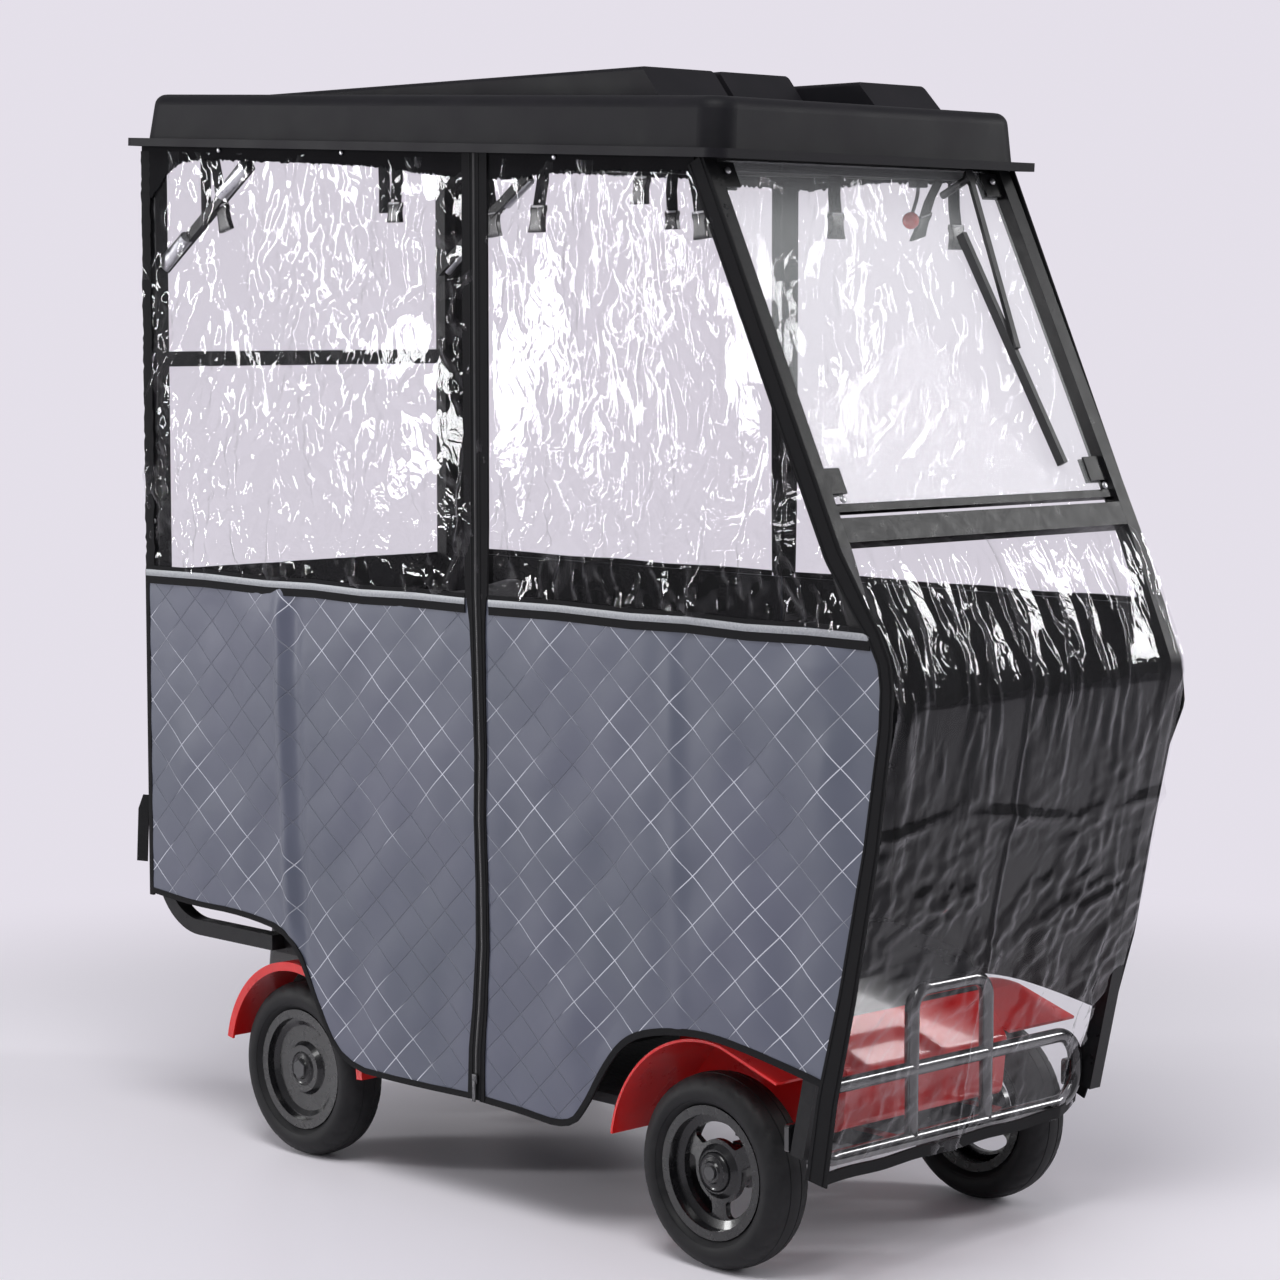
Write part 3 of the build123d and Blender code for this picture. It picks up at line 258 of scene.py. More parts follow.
rubber = speckled("black_rubber", 28, (0.020, 0.020, 0.021), (0.009, 0.009, 0.010), (0.46, 0.68), 0.25, 900,
                  Specular_IOR_Level=0.2)
tyre_section = [
    (-0.0255, 0.0925), (0.0255, 0.0925), (0.0262, 0.0972), (0.0285, 0.1000), (0.0325, 0.1022), (0.0350, 0.1050),
    (0.0352, 0.1062), (0.0362, 0.1064), (0.0376, 0.1090), (0.0384, 0.1125), (0.0388, 0.1160), (0.0387, 0.1195),
    (0.0376, 0.1235), (0.0362, 0.1270), (0.0340, 0.1308), (0.0312, 0.1343), (0.0276, 0.1371), (0.0232, 0.1391),
    (0.0180, 0.1405), (0.0120, 0.1415), (0.0108, 0.1396), (0.0096, 0.1417), (0.0030, 0.1424), (-0.0030, 0.1424),
]
tyre_section += [(-out, radius) for out, radius in tyre_section[21:1:-1]]
wheel_stations = [
    ("front_right", (0.502, -0.285, 0.1425), -1),
    ("front_left", (0.502, 0.285, 0.1425), 1),
    ("rear_right", (-0.438, -0.285, 0.1425), -1),
    ("rear_left", (-0.438, 0.285, 0.1425), 1),
]
groove_every = 8
groove_depth = 0.0022
tyre_steps = 192
for wheel, hub, side in wheel_stations:
    tyre = turned(f"tyre_dressed_{wheel}", tyre_section, hub, side, tyre_steps)
    for vertex in tyre.data.vertices:
        out = abs(vertex.co.y - hub[1])
        turn = np.arctan2(vertex.co.x - hub[0], vertex.co.z - hub[2]) / (2 * pi) * tyre_steps
        lean = turn + (out - 0.012) / 0.0035 * (1 if vertex.co.y > hub[1] else -1)
        if 0.0125 < out < 0.0345 and (lean % groove_every) < 1.25:
            radial = Vector((vertex.co.x - hub[0], 0, vertex.co.z - hub[2]))
            if radial.length > 0.1305:
                vertex.co -= radial.normalized() * groove_depth
    settle(tyre, rubber, f"wheel_{wheel}", 30)
    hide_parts(f"tyre_{wheel}")


# Rims: cast wheels in gloss black paint, with open windows in front and closed discs behind.
# A turned dust cap sits on each hub, and a rubber valve stands in the well.
def dress(nodes, material):
    """Gives CAD nodes their finish."""
    for node_name in nodes:
        for place_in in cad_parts[node_name].material_slots:
            place_in.material = material


gloss_black = speckled("gloss_black_paint", 60, (0.010, 0.010, 0.011), (0.006, 0.006, 0.007), (0.2, 0.32),
                       Coat_Weight=0.35, Coat_Roughness=0.08, Specular_IOR_Level=0.3)
dress([f"rim_{wheel}" for wheel, _, _ in wheel_stations], gloss_black)
nut_steel = speckled("zinc_steel", 90, (0.16, 0.16, 0.165), (0.05, 0.05, 0.052), (0.3, 0.5), Metallic=1.0)
cap_section = [(0.0200, 0.0105), (0.0292, 0.0105), (0.0292, 0.0150), (0.0265, 0.0172), (0.0252, 0.0225),
               (0.0262, 0.0245), (0.0246, 0.0275), (0.0210, 0.0300), (0.0200, 0.0300)]
for wheel, hub, side in wheel_stations:
    cap = turned(f"hub_cap_{wheel}", cap_section, hub, side, 48)
    settle(cap, gloss_black, f"wheel_{wheel}", 35)
    valve = start(f"valve_{wheel}", "cone", vertices=20, radius1=0.0042, radius2=0.0028, depth=0.024,
                  location=(hub[0] + 0.052, hub[1] + side * 0.018, hub[2] + 0.062),
                  rotation=(radians(-70 * side), 0, 0))
    reshape(valve, bevel={"offset": 0.0006, "segments": 2})
    settle(valve, rubber, f"wheel_{wheel}")

# Steel underneath: axle beam, knuckles and tie rod in satin dark paint, welded and bolted.
chassis_paint = speckled("satin_dark_steel", 40, (0.060, 0.060, 0.064), (0.028, 0.028, 0.03), (0.32, 0.55), 0.15, 700)
dress(["front_axle_beam", "knuckle_left", "knuckle_right", "tie_rod", "rear_axle"], chassis_paint)

# Frame tubes: steel tube in satin black powder coat, with its fine orange peel.
powder_coat = speckled("black_powder_coat", 55, (0.014, 0.014, 0.015), (0.007, 0.007, 0.008), (0.26, 0.42), 0.3, 1100,
                       Specular_IOR_Level=0.18)
dress(["chassis_frame", "rear_posts", "roof_rails", "front_pillars", "screen_crossbar", "glass_clamps"], powder_coat)

# Front bumper: bent tube in gloss black, bolted to the rails.
bumper_gloss = speckled("bumper_gloss_black", 30, (0.016, 0.016, 0.017), (0.010, 0.010, 0.011), (0.1, 0.2),
                        Coat_Weight=0.8, Coat_Roughness=0.04)
dress(["front_bumper"], bumper_gloss)

# Floor: a black ribbed mat in the deck's tray. The battery case under the seat is plain moulded plastic.
def patterned(material, texture, output, strength, distance, *values, **settings):
    """Raises a regular texture on a material, in Object coordinates."""
    pattern = add_node(material, texture, [("Vector", object_place(material))], values, **settings)
    relief(material, pattern.outputs[output], strength, distance)
    return material


deck_rubber = patterned(new_material("ribbed_mat", (0.028, 0.028, 0.03), 0.6), "TexWave", "Fac", 0.6, 0.002,
                        ("Scale", 20.0), bands_direction="Y")
dress(["floor_deck"], deck_rubber)
battery_plastic = speckled("battery_case", 30, (0.04, 0.04, 0.044), (0.022, 0.022, 0.025), (0.42, 0.6), 0.2, 900)
dress(["battery_pack"], battery_plastic)

# Bodywork: gloss red moulded panels at the nose, the wheel arches and the leg shield, black plastic at the rear.
def maths(material, operation, first, second=None, clamp=False):
    """One Math node on sockets or numbers."""
    node = add_node(material, "Math", operation=operation, use_clamp=clamp)
    for index, value in enumerate((first, second)):
        if isinstance(value, (int, float)):
            node.inputs[index].default_value = value
        elif value is not None:
            join(material, value, node.inputs[index])
    return node.outputs["Value"]


def mixed(material, share, first, second):
    """The colour socket first, blended into second, a socket or a colour, by share."""
    node = add_node(material, "Mix", [(0, share), (6, first)], data_type="RGBA")
    if isinstance(second, tuple):
        node.inputs[7].default_value = (*second, 1)
    else:
        join(material, second, node.inputs[7])
    return node.outputs[2]


gloss_red = speckled("gloss_red_plastic", 14, (0.66, 0.009, 0.008), (0.52, 0.006, 0.007), (0.25, 0.36),
                     Coat_Weight=0.3, Coat_Roughness=0.08, Specular_IOR_Level=0.3)
dress(["rear_fenders", "front_fenders"], gloss_red)
# Front body and leg shield: red, with their upper middle painted near black as painted shade, where the inside lies
# dark behind the apron.
red_with_painted_shade = gloss_red.copy()
red_with_painted_shade.name = "red_plastic_painted_shade"
painted = shader_of(red_with_painted_shade).inputs["Base Color"].links[0].from_socket
shade_split = add_node(red_with_painted_shade, "SeparateXYZ", [("Vector", object_place(red_with_painted_shade))])
off_middle = maths(red_with_painted_shade, "ABSOLUTE", shade_split.outputs["Y"])
# Painted shade mask: above 0.355 m and within 0.262 m of the middle.
painted_shade_area = maths(red_with_painted_shade, "MULTIPLY", maths(red_with_painted_shade, "LESS_THAN", off_middle, 0.262),
                   maths(red_with_painted_shade, "GREATER_THAN", shade_split.outputs["Z"], 0.355))
link(red_with_painted_shade, mixed(red_with_painted_shade, painted_shade_area, painted, (0.008, 0.008, 0.009)), "Base Color")
dress(["front_body", "leg_shield"], red_with_painted_shade)
black_plastic = speckled("grained_black_plastic", 50, (0.026, 0.026, 0.028), (0.015, 0.015, 0.016), (0.36, 0.52), 0.5,
                         1300)
dress(["rear_body", "dash_pod", "wiper"], black_plastic)

# Seat: black vinyl over foam, a bench cushion and a back with sewn channels.
vinyl = patterned(new_material("black_vinyl", (0.022, 0.022, 0.024), 0.42, Coat_Weight=0.15), "TexVoronoi", "Distance",
                  0.5, 0.0008, ("Scale", 420.0), feature="DISTANCE_TO_EDGE")
channel_depth = 0.009
cloth_frames = 20


def pad(name, node_name, shrink, cap, channels, axis, front):
    """A stuffed pad swollen from its solid by a cloth simulation, with channels sewn across its face along front."""
    low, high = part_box(node_name)
    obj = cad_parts[node_name].copy()
    obj.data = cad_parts[node_name].data.copy()
    for key in [key for key in obj.keys() if key.startswith("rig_")]:
        del obj[key]
    obj.name = name
    scene.collection.objects.link(obj)
    obj.parent = None
    obj.matrix_world.identity()
    only(obj)
    middle = (Vector(low) + Vector(high)) / 2
    for vertex in obj.data.vertices:
        vertex.co = middle + Vector([d * s for d, s in zip(vertex.co - middle, shrink)])
    reshape(obj, remove_doubles={"threshold": merge_distance})
    obj.data.remesh_voxel_size = 0.006
    bpy.ops.object.voxel_remesh()
    rest = np.array([v.co[:] for v in obj.data.vertices])
    cloth = obj.modifiers.new("filling", "CLOTH")
    cloth.settings.use_pressure = True
    cloth.settings.uniform_pressure_force = 4
    cloth.settings.effector_weights.gravity = 0
    cloth.point_cache.frame_start = 1
    cloth.point_cache.frame_end = cloth_frames
    for number in range(1, cloth_frames + 1):
        scene.frame_set(number)
    bpy.ops.object.modifier_apply(modifier="filling")
    scene.frame_set(1)
    for index, vertex in enumerate(obj.data.vertices):
        move = vertex.co - Vector(rest[index])
        if move.length > cap:
            move = move.normalized() * cap
        spot = Vector(rest[index]) + move
        level = (spot[axis] - low[axis]) / (high[axis] - low[axis])
        near = min(abs(level - channel) for channel in channels) * (high[axis] - low[axis])
        facing = max(0.0, min(1.0, (spot[front] - middle[front]) / 0.02))
        spot[front] -= channel_depth * facing * np.exp(-((near / 0.008) ** 2))
        vertex.co = spot
    smooth = obj.modifiers.new("skin", "SMOOTH")
    smooth.iterations = 3
    smooth.factor = 0.5
    bpy.ops.object.modifier_apply(modifier="skin")
    settle(obj, vinyl, "chassis", 60)
    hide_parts(node_name)


pad("seat_cushion_pad", "seat_cushion", (0.95, 0.95, 0.86), 0.02, (0.3, 0.5, 0.7), 0, 2)
pad("seat_back_pad", "seat_back", (0.90, 0.95, 0.96), 0.02, (0.35, 0.55, 0.75), 2, 0)

# Steering: column and bar in black paint, and soft black grips; the pod is plain black plastic.
dress(["steering_column"], powder_coat)
grip_rubber = patterned(new_material("grip_rubber", (0.02, 0.02, 0.02), 0.6), "TexWave", "Fac", 0.7, 0.0015,
                        ("Scale", 40.0), bands_direction="Y")
dress(["handlebar_grips"], grip_rubber)

# Lamps: a round headlamp behind a clear lens and red lenses at the rear, all moulded plastic.
lamp_lens = patterned(new_material("clear_lens", (0.75, 0.78, 0.82), 0.08, Coat_Weight=1.0, Metallic=0.6), "TexWave",
                      "Fac", 0.5, 0.002, ("Scale", 45.0), bands_direction="Y")
dress(["headlamp"], lamp_lens)
red_lens = patterned(new_material("red_lens", (0.45, 0.006, 0.008), 0.1, Coat_Weight=1.0), "TexVoronoi", "Distance",
                     0.4, 0.001, ("Scale", 180.0))
dress(["tail_lamps"], red_lens)

# Roof: one satin black moulded shell with level ribs, screwed down on the rails.
roof_plastic = speckled("roof_satin_plastic", 9, (0.013, 0.012, 0.015), (0.008, 0.008, 0.010), (0.46, 0.58), 0.25, 1500,
                        Specular_IOR_Level=0.13)
dress(["roof_shell"], roof_plastic)

# Windscreen: one clear safety pane, its edge faintly green.
pane_glass = new_material("clear_pane", (0.92, 0.95, 0.95), 0.03, Alpha=0.12, Specular_IOR_Level=0.06)
dress(["windscreen_glass"], pane_glass)

# Quilted panels: blue-grey coated nylon with a black lining, embossed with a lattice of silver lines.
# They hang from the reflective strip between the zipper, the rear edge and the wheel cut-outs.
cover_half = 0.331
quilt_cloth = new_material("quilted_nylon", (0.09, 0.10, 0.13), 0.5, Sheen_Weight=0.15)
quilt_place = object_place(quilt_cloth)
quilt_split = add_node(quilt_cloth, "SeparateXYZ", [("Vector", quilt_place)])
lattice_pitch = 0.0535
lattice_angles = (radians(-41.5), radians(39.0))


def lattice(material, across, up):
    """Masks of the embossed lattice's two families of diagonals."""
    lines = []
    for angle in lattice_angles:
        along = maths(material, "ADD", maths(material, "MULTIPLY", across, sin(angle) / lattice_pitch),
                      maths(material, "MULTIPLY", up, cos(angle) / lattice_pitch))
        saw = maths(material, "ABSOLUTE", maths(material, "SUBTRACT", maths(material, "FRACT", along), 0.5))
        lines.append(maths(material, "MULTIPLY", maths(material, "SUBTRACT", saw, 0.478), 60.0, True))
    return lines


either = maths(quilt_cloth, "MAXIMUM", *lattice(quilt_cloth, quilt_split.outputs["X"], quilt_split.outputs["Z"]))
# The lattice lines are the cloth's own silver print, but their brightness is painted sheen: bright in broad slanted
# bands and patches and fading to dark between them, as where they catch the light.
slanted = add_node(quilt_cloth, "Mapping", [("Vector", quilt_place)],
                   [("Rotation", (0, radians(50), 0)), ("Scale", (1.1, 1.0, 0.20))], vector_type="TEXTURE")
sheen_bands = noise(quilt_cloth, 0.9, 2.0, slanted.outputs["Vector"], Roughness=0.45)
sheen_patches = noise(quilt_cloth, 13.0, 1.0, quilt_place)
painted_sheen = maths(quilt_cloth, "MULTIPLY", remap(quilt_cloth, sheen_bands, 0.43, 0.57, 0.06, 1.3),
              remap(quilt_cloth, sheen_patches, 0.38, 0.55, 0.3, 1.0))
line_share = maths(quilt_cloth, "MULTIPLY", either,
                   maths(quilt_cloth, "ADD", maths(quilt_cloth, "MULTIPLY", painted_sheen, 0.65), 0.25))
cloth_colour = ramp(quilt_cloth, noise(quilt_cloth, 3.0, 4.0, quilt_place), 0.3, (0.069, 0.080, 0.114), 0.75,
                    (0.092, 0.098, 0.144))
# Line colour runs from dark to silver with the painted sheen.
line_colour = ramp(quilt_cloth, painted_sheen, 0.1, (0.045, 0.050, 0.068), 0.5, (0.62, 0.64, 0.72))
link(quilt_cloth, mixed(quilt_cloth, line_share, cloth_colour, line_colour), "Base Color")
weave = noise(quilt_cloth, 900.0, 2.0, quilt_place)
relief(quilt_cloth, maths(quilt_cloth, "SUBTRACT", maths(quilt_cloth, "MULTIPLY", weave, 0.12), either), 0.6, 0.0015)
lining_cloth = speckled("black_lining", 120, (0.016, 0.016, 0.018), (0.008, 0.008, 0.009), (0.6, 0.85), 0.3, 1400,
                        Specular_IOR_Level=0.1)


def net(name, columns, rows):
    """A flat grid of columns by rows cells, and the shares across and up of its points."""
    obj = start(name, "grid", x_subdivisions=columns, y_subdivisions=rows, size=2)
    return obj, np.array([v.co[:2] for v in obj.data.vertices]) / 2 + 0.5


def sheet_mesh(name, columns, rows, bottom, top, left, right):
    """A net of columns by rows cells, its places laid between four edge curves of (x, z) over 0 to 1."""
    obj, flat = net(name, columns, rows)
    corners = [np.array(bottom(0.0)), np.array(bottom(1.0)), np.array(top(0.0)), np.array(top(1.0))]
    places = np.zeros((len(flat), 2))
    for index, (u, v) in enumerate(flat):
        places[index] = (
            (1 - v) * np.array(bottom(u)) + v * np.array(top(u)) + (1 - u) * np.array(left(v)) + u * np.array(right(v))
            - (1 - u) * (1 - v) * corners[0] - u * (1 - v) * corners[1] - (1 - u) * v * corners[2] - u * v * corners[3]
        )
    return obj, flat, places


def through(points):
    """A smooth run through (x, z) points, by its share of the length."""
    points = np.array(points, dtype=float)
    steps = np.concatenate([[0], np.cumsum(np.linalg.norm(np.diff(points, axis=0), axis=1))])
    steps /= steps[-1]
    return lambda t: (float(np.interp(t, steps, points[:, 0])), float(np.interp(t, steps, points[:, 1])))


def rectangle(x0, x1, z0, z1):
    """The bottom, top, left and right edges of an upright rectangle."""
    return (through([(x0, z0), (x1, z0)]), through([(x0, z1), (x1, z1)]),
            through([(x0, z0), (x0, z1)]), through([(x1, z0), (x1, z1)]))


def rounded(points, rounds=3):
    """The same run with its corners cut off again and again."""
    points = [np.array(p, dtype=float) for p in points]
    for _ in range(rounds):
        cut = [points[0]]
        for a, b in zip(points[:-1], points[1:]):
            cut += [a * 0.75 + b * 0.25, a * 0.25 + b * 0.75]
        points = cut + [points[-1]]
    return points


def face(obj, axis, way):
    """Makes obj the active object, its faces pointing along the axis number the way of the sign."""
    only(obj)
    if sum(polygon.normal[axis] for polygon in obj.data.polygons) * way < 0:
        reshape(obj, flip_normals={})


def thicken(obj, thickness, offset=-1, lining=0):
    """Gives the active sheet its thickness, its back in the material at the lining number."""
    wall = obj.modifiers.new("wall", "SOLIDIFY")
    wall.thickness = thickness
    wall.offset = offset
    wall.material_offset = lining
    bpy.ops.object.modifier_apply(modifier="wall")


def line_quilt(obj, cloth, **how):
    obj.data.materials.append(cloth)
    obj.data.materials.append(lining_cloth)
    thicken(obj, 0.0035, lining=1)
    bpy.ops.object.shade_smooth_by_angle(angle=radians(50))
    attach(obj, "chassis")


def puffs(across, up):
    """Swells between the lattice lines, from 0 on a line to 1."""
    puff = np.ones_like(across)
    for angle in lattice_angles:
        puff *= np.abs(np.sin(pi * (across * sin(angle) + up * cos(angle)) / lattice_pitch))
    return puff


def slow_wave(across, up, seed, size):
    """Smooth random swells of about this size, from -1 to 1."""
    draws = np.random.default_rng(seed)
    total = np.zeros_like(across)
    for _ in range(7):
        angle = draws.uniform(0, 2 * pi)
        total += np.sin((across * cos(angle) + up * sin(angle)) * 2 * pi / (size * draws.uniform(0.7, 1.6))
                        + draws.uniform(0, 2 * pi))
    return total / 4.0


strip_level = 0.937
zipper_x = 0.025
zipper_rear, zipper_front = zipper_x - 0.002, zipper_x + 0.002
sides = (("right", -1), ("left", 1))
rear_edge = -0.814
wheel_cuts = {
    "rear": rounded([(rear_edge, 0.391), (-0.70, 0.382), (-0.56, 0.383), (-0.432, 0.366), (-0.372, 0.268),
                     (-0.307, 0.170), (-0.15, 0.168), (zipper_rear, 0.172)], 2),
    "front": rounded([(zipper_front, 0.171), (0.12, 0.168), (0.225, 0.160), (0.262, 0.200), (0.300, 0.262),
                      (0.345, 0.312), (0.41, 0.334), (0.503, 0.344), (0.60, 0.334), (0.737, 0.309)], 2),
}
front_edges = {
    -1: rounded([(0.737, 0.309), (0.786, 0.500), (0.836, 0.76), (0.846, 0.86), (0.824, strip_level)], 2),
    1: rounded([(0.700, 0.312), (0.752, 0.500), (0.790, 0.70), (0.815, 0.81), (0.790, strip_level)], 2),
}


def lower_edge(side, part):
    """The quilt's bottom edge round its wheel, as far as the front edge on this side."""
    cut = [tuple(point) for point in wheel_cuts[part]]
    if part == "front":
        corner = tuple(front_edges[side][0])
        cut = [point for point in cut if point[0] < corner[0]] + [corner]
    return cut


def quilt_panel(side_name, side, part, seed, **how):
    """One lined quilt panel with its cut-out edge, hanging folds and faint puffs between the lines."""
    bottom = through(lower_edge(side, part))
    if part == "rear":
        _, top, left, _ = rectangle(rear_edge, zipper_rear, 0.391, strip_level)
        right = through([(zipper_rear, 0.172), (zipper_rear, strip_level)])
    else:
        left = through([(zipper_front, 0.171), (zipper_front, strip_level)])
        right = through(front_edges[side])
        top = through([(zipper_front, strip_level), right(1.0)])
    obj, flat, places = sheet_mesh(f"quilt_{side_name}_{part}", 130, 120, bottom, top, left, right)
    x, z = places[:, 0], places[:, 1]
    edge = np.minimum.reduce([flat[:, 0], 1 - flat[:, 0], flat[:, 1] * 1.3, (1 - flat[:, 1]) * 1.3])
    loose = np.clip(edge * 9, 0, 1)
    folds = 0.0040 * slow_wave(x, z * 0.35, seed, 0.22) + 0.0022 * slow_wave(x, z * 0.6, seed + 5, 0.09)
    if part == "rear":
        folds += 0.008 * np.exp(-(((x + 0.445 + (z - 0.6) * 0.03) / 0.014) ** 2)) - 0.006 * np.exp(
            -(((x + 0.412 + (z - 0.6) * 0.03) / 0.016) ** 2))
    else:
        folds += 0.004 * np.exp(-(((x - 0.45 + (z - 0.6) * 0.05) / 0.02) ** 2))
    out = cover_half + 0.002 + 0.0010 * puffs(x, z) ** 0.5 + loose * folds
    for index, vertex in enumerate(obj.data.vertices):
        vertex.co = (x[index], side * out[index], z[index])
    face(obj, 1, side)
    line_quilt(obj, quilt_cloth, rests_on=[f"side_window_{side_name}"], **how)
    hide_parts(f"side_quilt_{side_name}")


quilt_sizes = {"rear": (0.839, 0.839 * 0.765 * 0.84), "front": (0.787, 0.785 * 0.775 * 0.84)}
for side_name, side in sides:
    for part, (width, area) in quilt_sizes.items():
        quilt_panel(side_name, side, part, 11 if side < 0 else 31, flat=(width, 0.78), area=area)

# Clear windows: soft clear sheet, creased from folding, sewn to the strip below and the header above.
# The creases are many short sharp folds, and the sheet is see-through with bright white glints.
def crumple(across, up, seed, lean, spread, weight):
    """Height of a creased sheet: flat facets between sharp folds that run across `lean`, in long patches."""
    draws = np.random.default_rng(seed)
    total = np.zeros_like(across)
    for length, slope, count in ((0.150, 0.060, 5), (0.070, 0.100, 11), (0.032, 0.130, 20)):
        for _ in range(count):
            angle = draws.normal(lean, spread)
            over = across * cos(angle) + up * sin(angle)
            along = up * cos(angle) - across * sin(angle)
            bend = slow_wave(across, up, int(draws.integers(1e6)), 0.3) * 0.3
            phase = over / length + bend + draws.uniform(0, 1)
            patch = np.clip(slow_wave(over, along * 0.3, int(draws.integers(1e6)), 0.11) * 1.9 - 0.7, 0, 1)
            total += slope * length * 0.5 * patch * (1 - np.abs((phase % 1.0) * 2 - 1))
    return (total - total.mean()) * weight


clear_film = new_material("clear_film", (0.93, 0.93, 0.95), 0.05, Metallic=1.0)
film_scratch = noise(clear_film, 19.0, 2.5, Roughness=0.55, Distortion=1.2)
film_fold = maths(clear_film, "ABSOLUTE", maths(clear_film, "SUBTRACT", film_scratch, 0.5))
film_normal = relief(clear_film, film_fold, 0.22, 0.006)
film_edge = add_node(clear_film, "LayerWeight", [("Normal", film_normal)], [("Blend", 0.5)])
film_slant = maths(clear_film, "POWER", film_edge.outputs["Facing"], 4.0)
film_share = maths(clear_film, "ADD", maths(clear_film, "MULTIPLY", film_slant, 0.7), 0.021, True)
film_clear = add_node(clear_film, "BsdfTransparent", values=[("Color", (0.93, 0.925, 0.935, 1))])
film_mix = add_node(
    clear_film, "MixShader",
    [("Fac", film_share), (1, film_clear.outputs["BSDF"]), (2, shader_of(clear_film).outputs["BSDF"])],
)
surface(clear_film, film_mix.outputs["Shader"])


def brim_level(x):
    """Height of the roof brim's underside at the station x."""
    return 1.652 - (x + 0.845) * tan(radians(2.7))


def finish_film(obj, node_name, **how):
    only(obj)
    bpy.ops.object.shade_smooth()
    obj.data.materials.append(clear_film)
    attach(obj, "chassis")
    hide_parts(node_name)


def film_panel(side_name, side, part, outline, cells, seed, **how):
    """One creased clear sheet in the side plane, between four edge curves, most creased low and at the zipper."""
    obj, flat, places = sheet_mesh(f"window_{side_name}_{part}", *cells, *outline)
    x, z = places[:, 0], places[:, 1]
    weight = 0.9 + 0.9 * np.exp(-(((z - 1.02) / 0.12) ** 2)) + 0.7 * np.exp(-(((x - zipper_x) / 0.18) ** 2))
    height = crumple(x, z, seed, radians(12), 0.55, weight)
    out = cover_half + 0.0005 + np.clip(height, -0.0012, 0.011)
    for index, vertex in enumerate(obj.data.vertices):
        vertex.co = (x[index], side * out[index], z[index])
    face(obj, 1, side)
    finish_film(obj, f"side_window_{side_name}", held="stretched", rests_on=[f"quilt_{side_name}_{part}"], **how)


def window_top(x):
    """Height of the clear sheets' top edge, hidden behind the header band."""
    return brim_level(x) - 0.016


window_foot = strip_level + 0.0005
screen_head, screen_foot = 0.486, 0.790
for side_name, side in sides:
    outlines = []
    for aft, fore, foot in ((rear_edge, zipper_rear, zipper_rear), (zipper_front, screen_head, screen_foot)):
        bend = [] if fore == foot else [(0.742, 1.040)]
        outlines.append((
            through([(aft, window_foot), (foot, window_foot)]),
            through([(aft, window_top(aft)), (fore, window_top(fore))]),
            through([(aft, window_foot), (aft, window_top(aft))]),
            through([(foot, window_foot), *bend, (fore, window_top(fore))]),
        ))
    seen = side < 0
    film_panel(side_name, side, "rear", outlines[0], (210, 180) if seen else (130, 110), 3 if seen else 23,
               flat=(0.84, 0.70))
    film_panel(side_name, side, "front", outlines[1], (190, 170) if seen else (120, 105), 7 if seen else 27,
               flat=(0.765, 0.66), area=0.62 * 0.66)

# Front apron: the same clear sheet over the knee and down past the bumper, sewn to the edge bands at its sides.
# It was folded for storage, so one fold runs across it, a seam down its middle and fine creases over the knee.
apron_line = rounded([(0.748, 1.060), (0.768, 1.036), (0.826, 0.905), (0.847, 0.852),
                      (0.838, 0.800), (0.702, 0.200), (0.697, 0.168)], 2)
apron_run = through(apron_line)
push_levels = [0.17, 0.65, 0.80, 0.866, 0.937, 1.00, 1.06]
push_sizes = [0.031, 0.028, 0.018, 0.011, 0.016, 0.008, 0.0]
apron_wide = 0.657


def apron_push(level, across):
    """How far the apron stands forward of its run at this height and this distance from the middle."""
    near = np.interp(level, push_levels, push_sizes) * (0.5 - across / apron_wide)
    return near - np.clip((across - 0.22) / 0.11, 0, 1) * np.clip((0.45 - level) / 0.27, 0, 1) * 0.052


apron, apron_flat = net("apron_sheet", 220, 290)
apron_y = (apron_flat[:, 0] - 0.5) * apron_wide
apron_down = apron_flat[:, 1] * 1.02
knee_weight = 0.30 + 1.25 * np.exp(-(((apron_down - 0.20) / 0.15) ** 2))
apron_swell = crumple(apron_y, apron_down * 0.6, 41, 0.0, 0.30, knee_weight)
apron_swell += crumple(apron_y, apron_down, 57, radians(62), 0.6, 0.75 * np.clip((apron_down - 0.32) * 4, 0.2, 1))
apron_swell = np.clip(apron_swell, -0.002, 0.014)
fold_place = 0.470 + 0.035 * apron_y + 0.012 * np.sin(apron_y * 13)
apron_swell += 0.007 * np.clip(1 - np.abs(apron_down - fold_place) / 0.018, 0, 1) * (0.6 + 0.4 * np.cos(apron_y * 19))
apron_swell += 0.0035 * np.clip(1 - np.abs(apron_y + 0.035) / 0.006, 0, 1)
for index, vertex in enumerate(apron.data.vertices):
    share_down = apron_flat[index, 1]
    here = Vector(apron_run(share_down))
    ahead = Vector(apron_run(min(1.0, share_down + 0.01))) - Vector(apron_run(max(0.0, share_down - 0.01)))
    normal = Vector((-ahead[1], ahead[0])).normalized()
    near = np.interp(here[1], push_levels, push_sizes) * (0.5 - apron_y[index] / apron_wide)
    swell = max(apron_swell[index], -0.9 * near - 0.001)
    vertex.co = (here[0] + apron_push(here[1], apron_y[index]) + normal[0] * swell, apron_y[index],
                 here[1] + normal[1] * swell)
finish_film(apron, "front_apron", flat=(apron_wide, 1.0), held="hung", rests_on=["screen_crossbar", "front_pillars"])

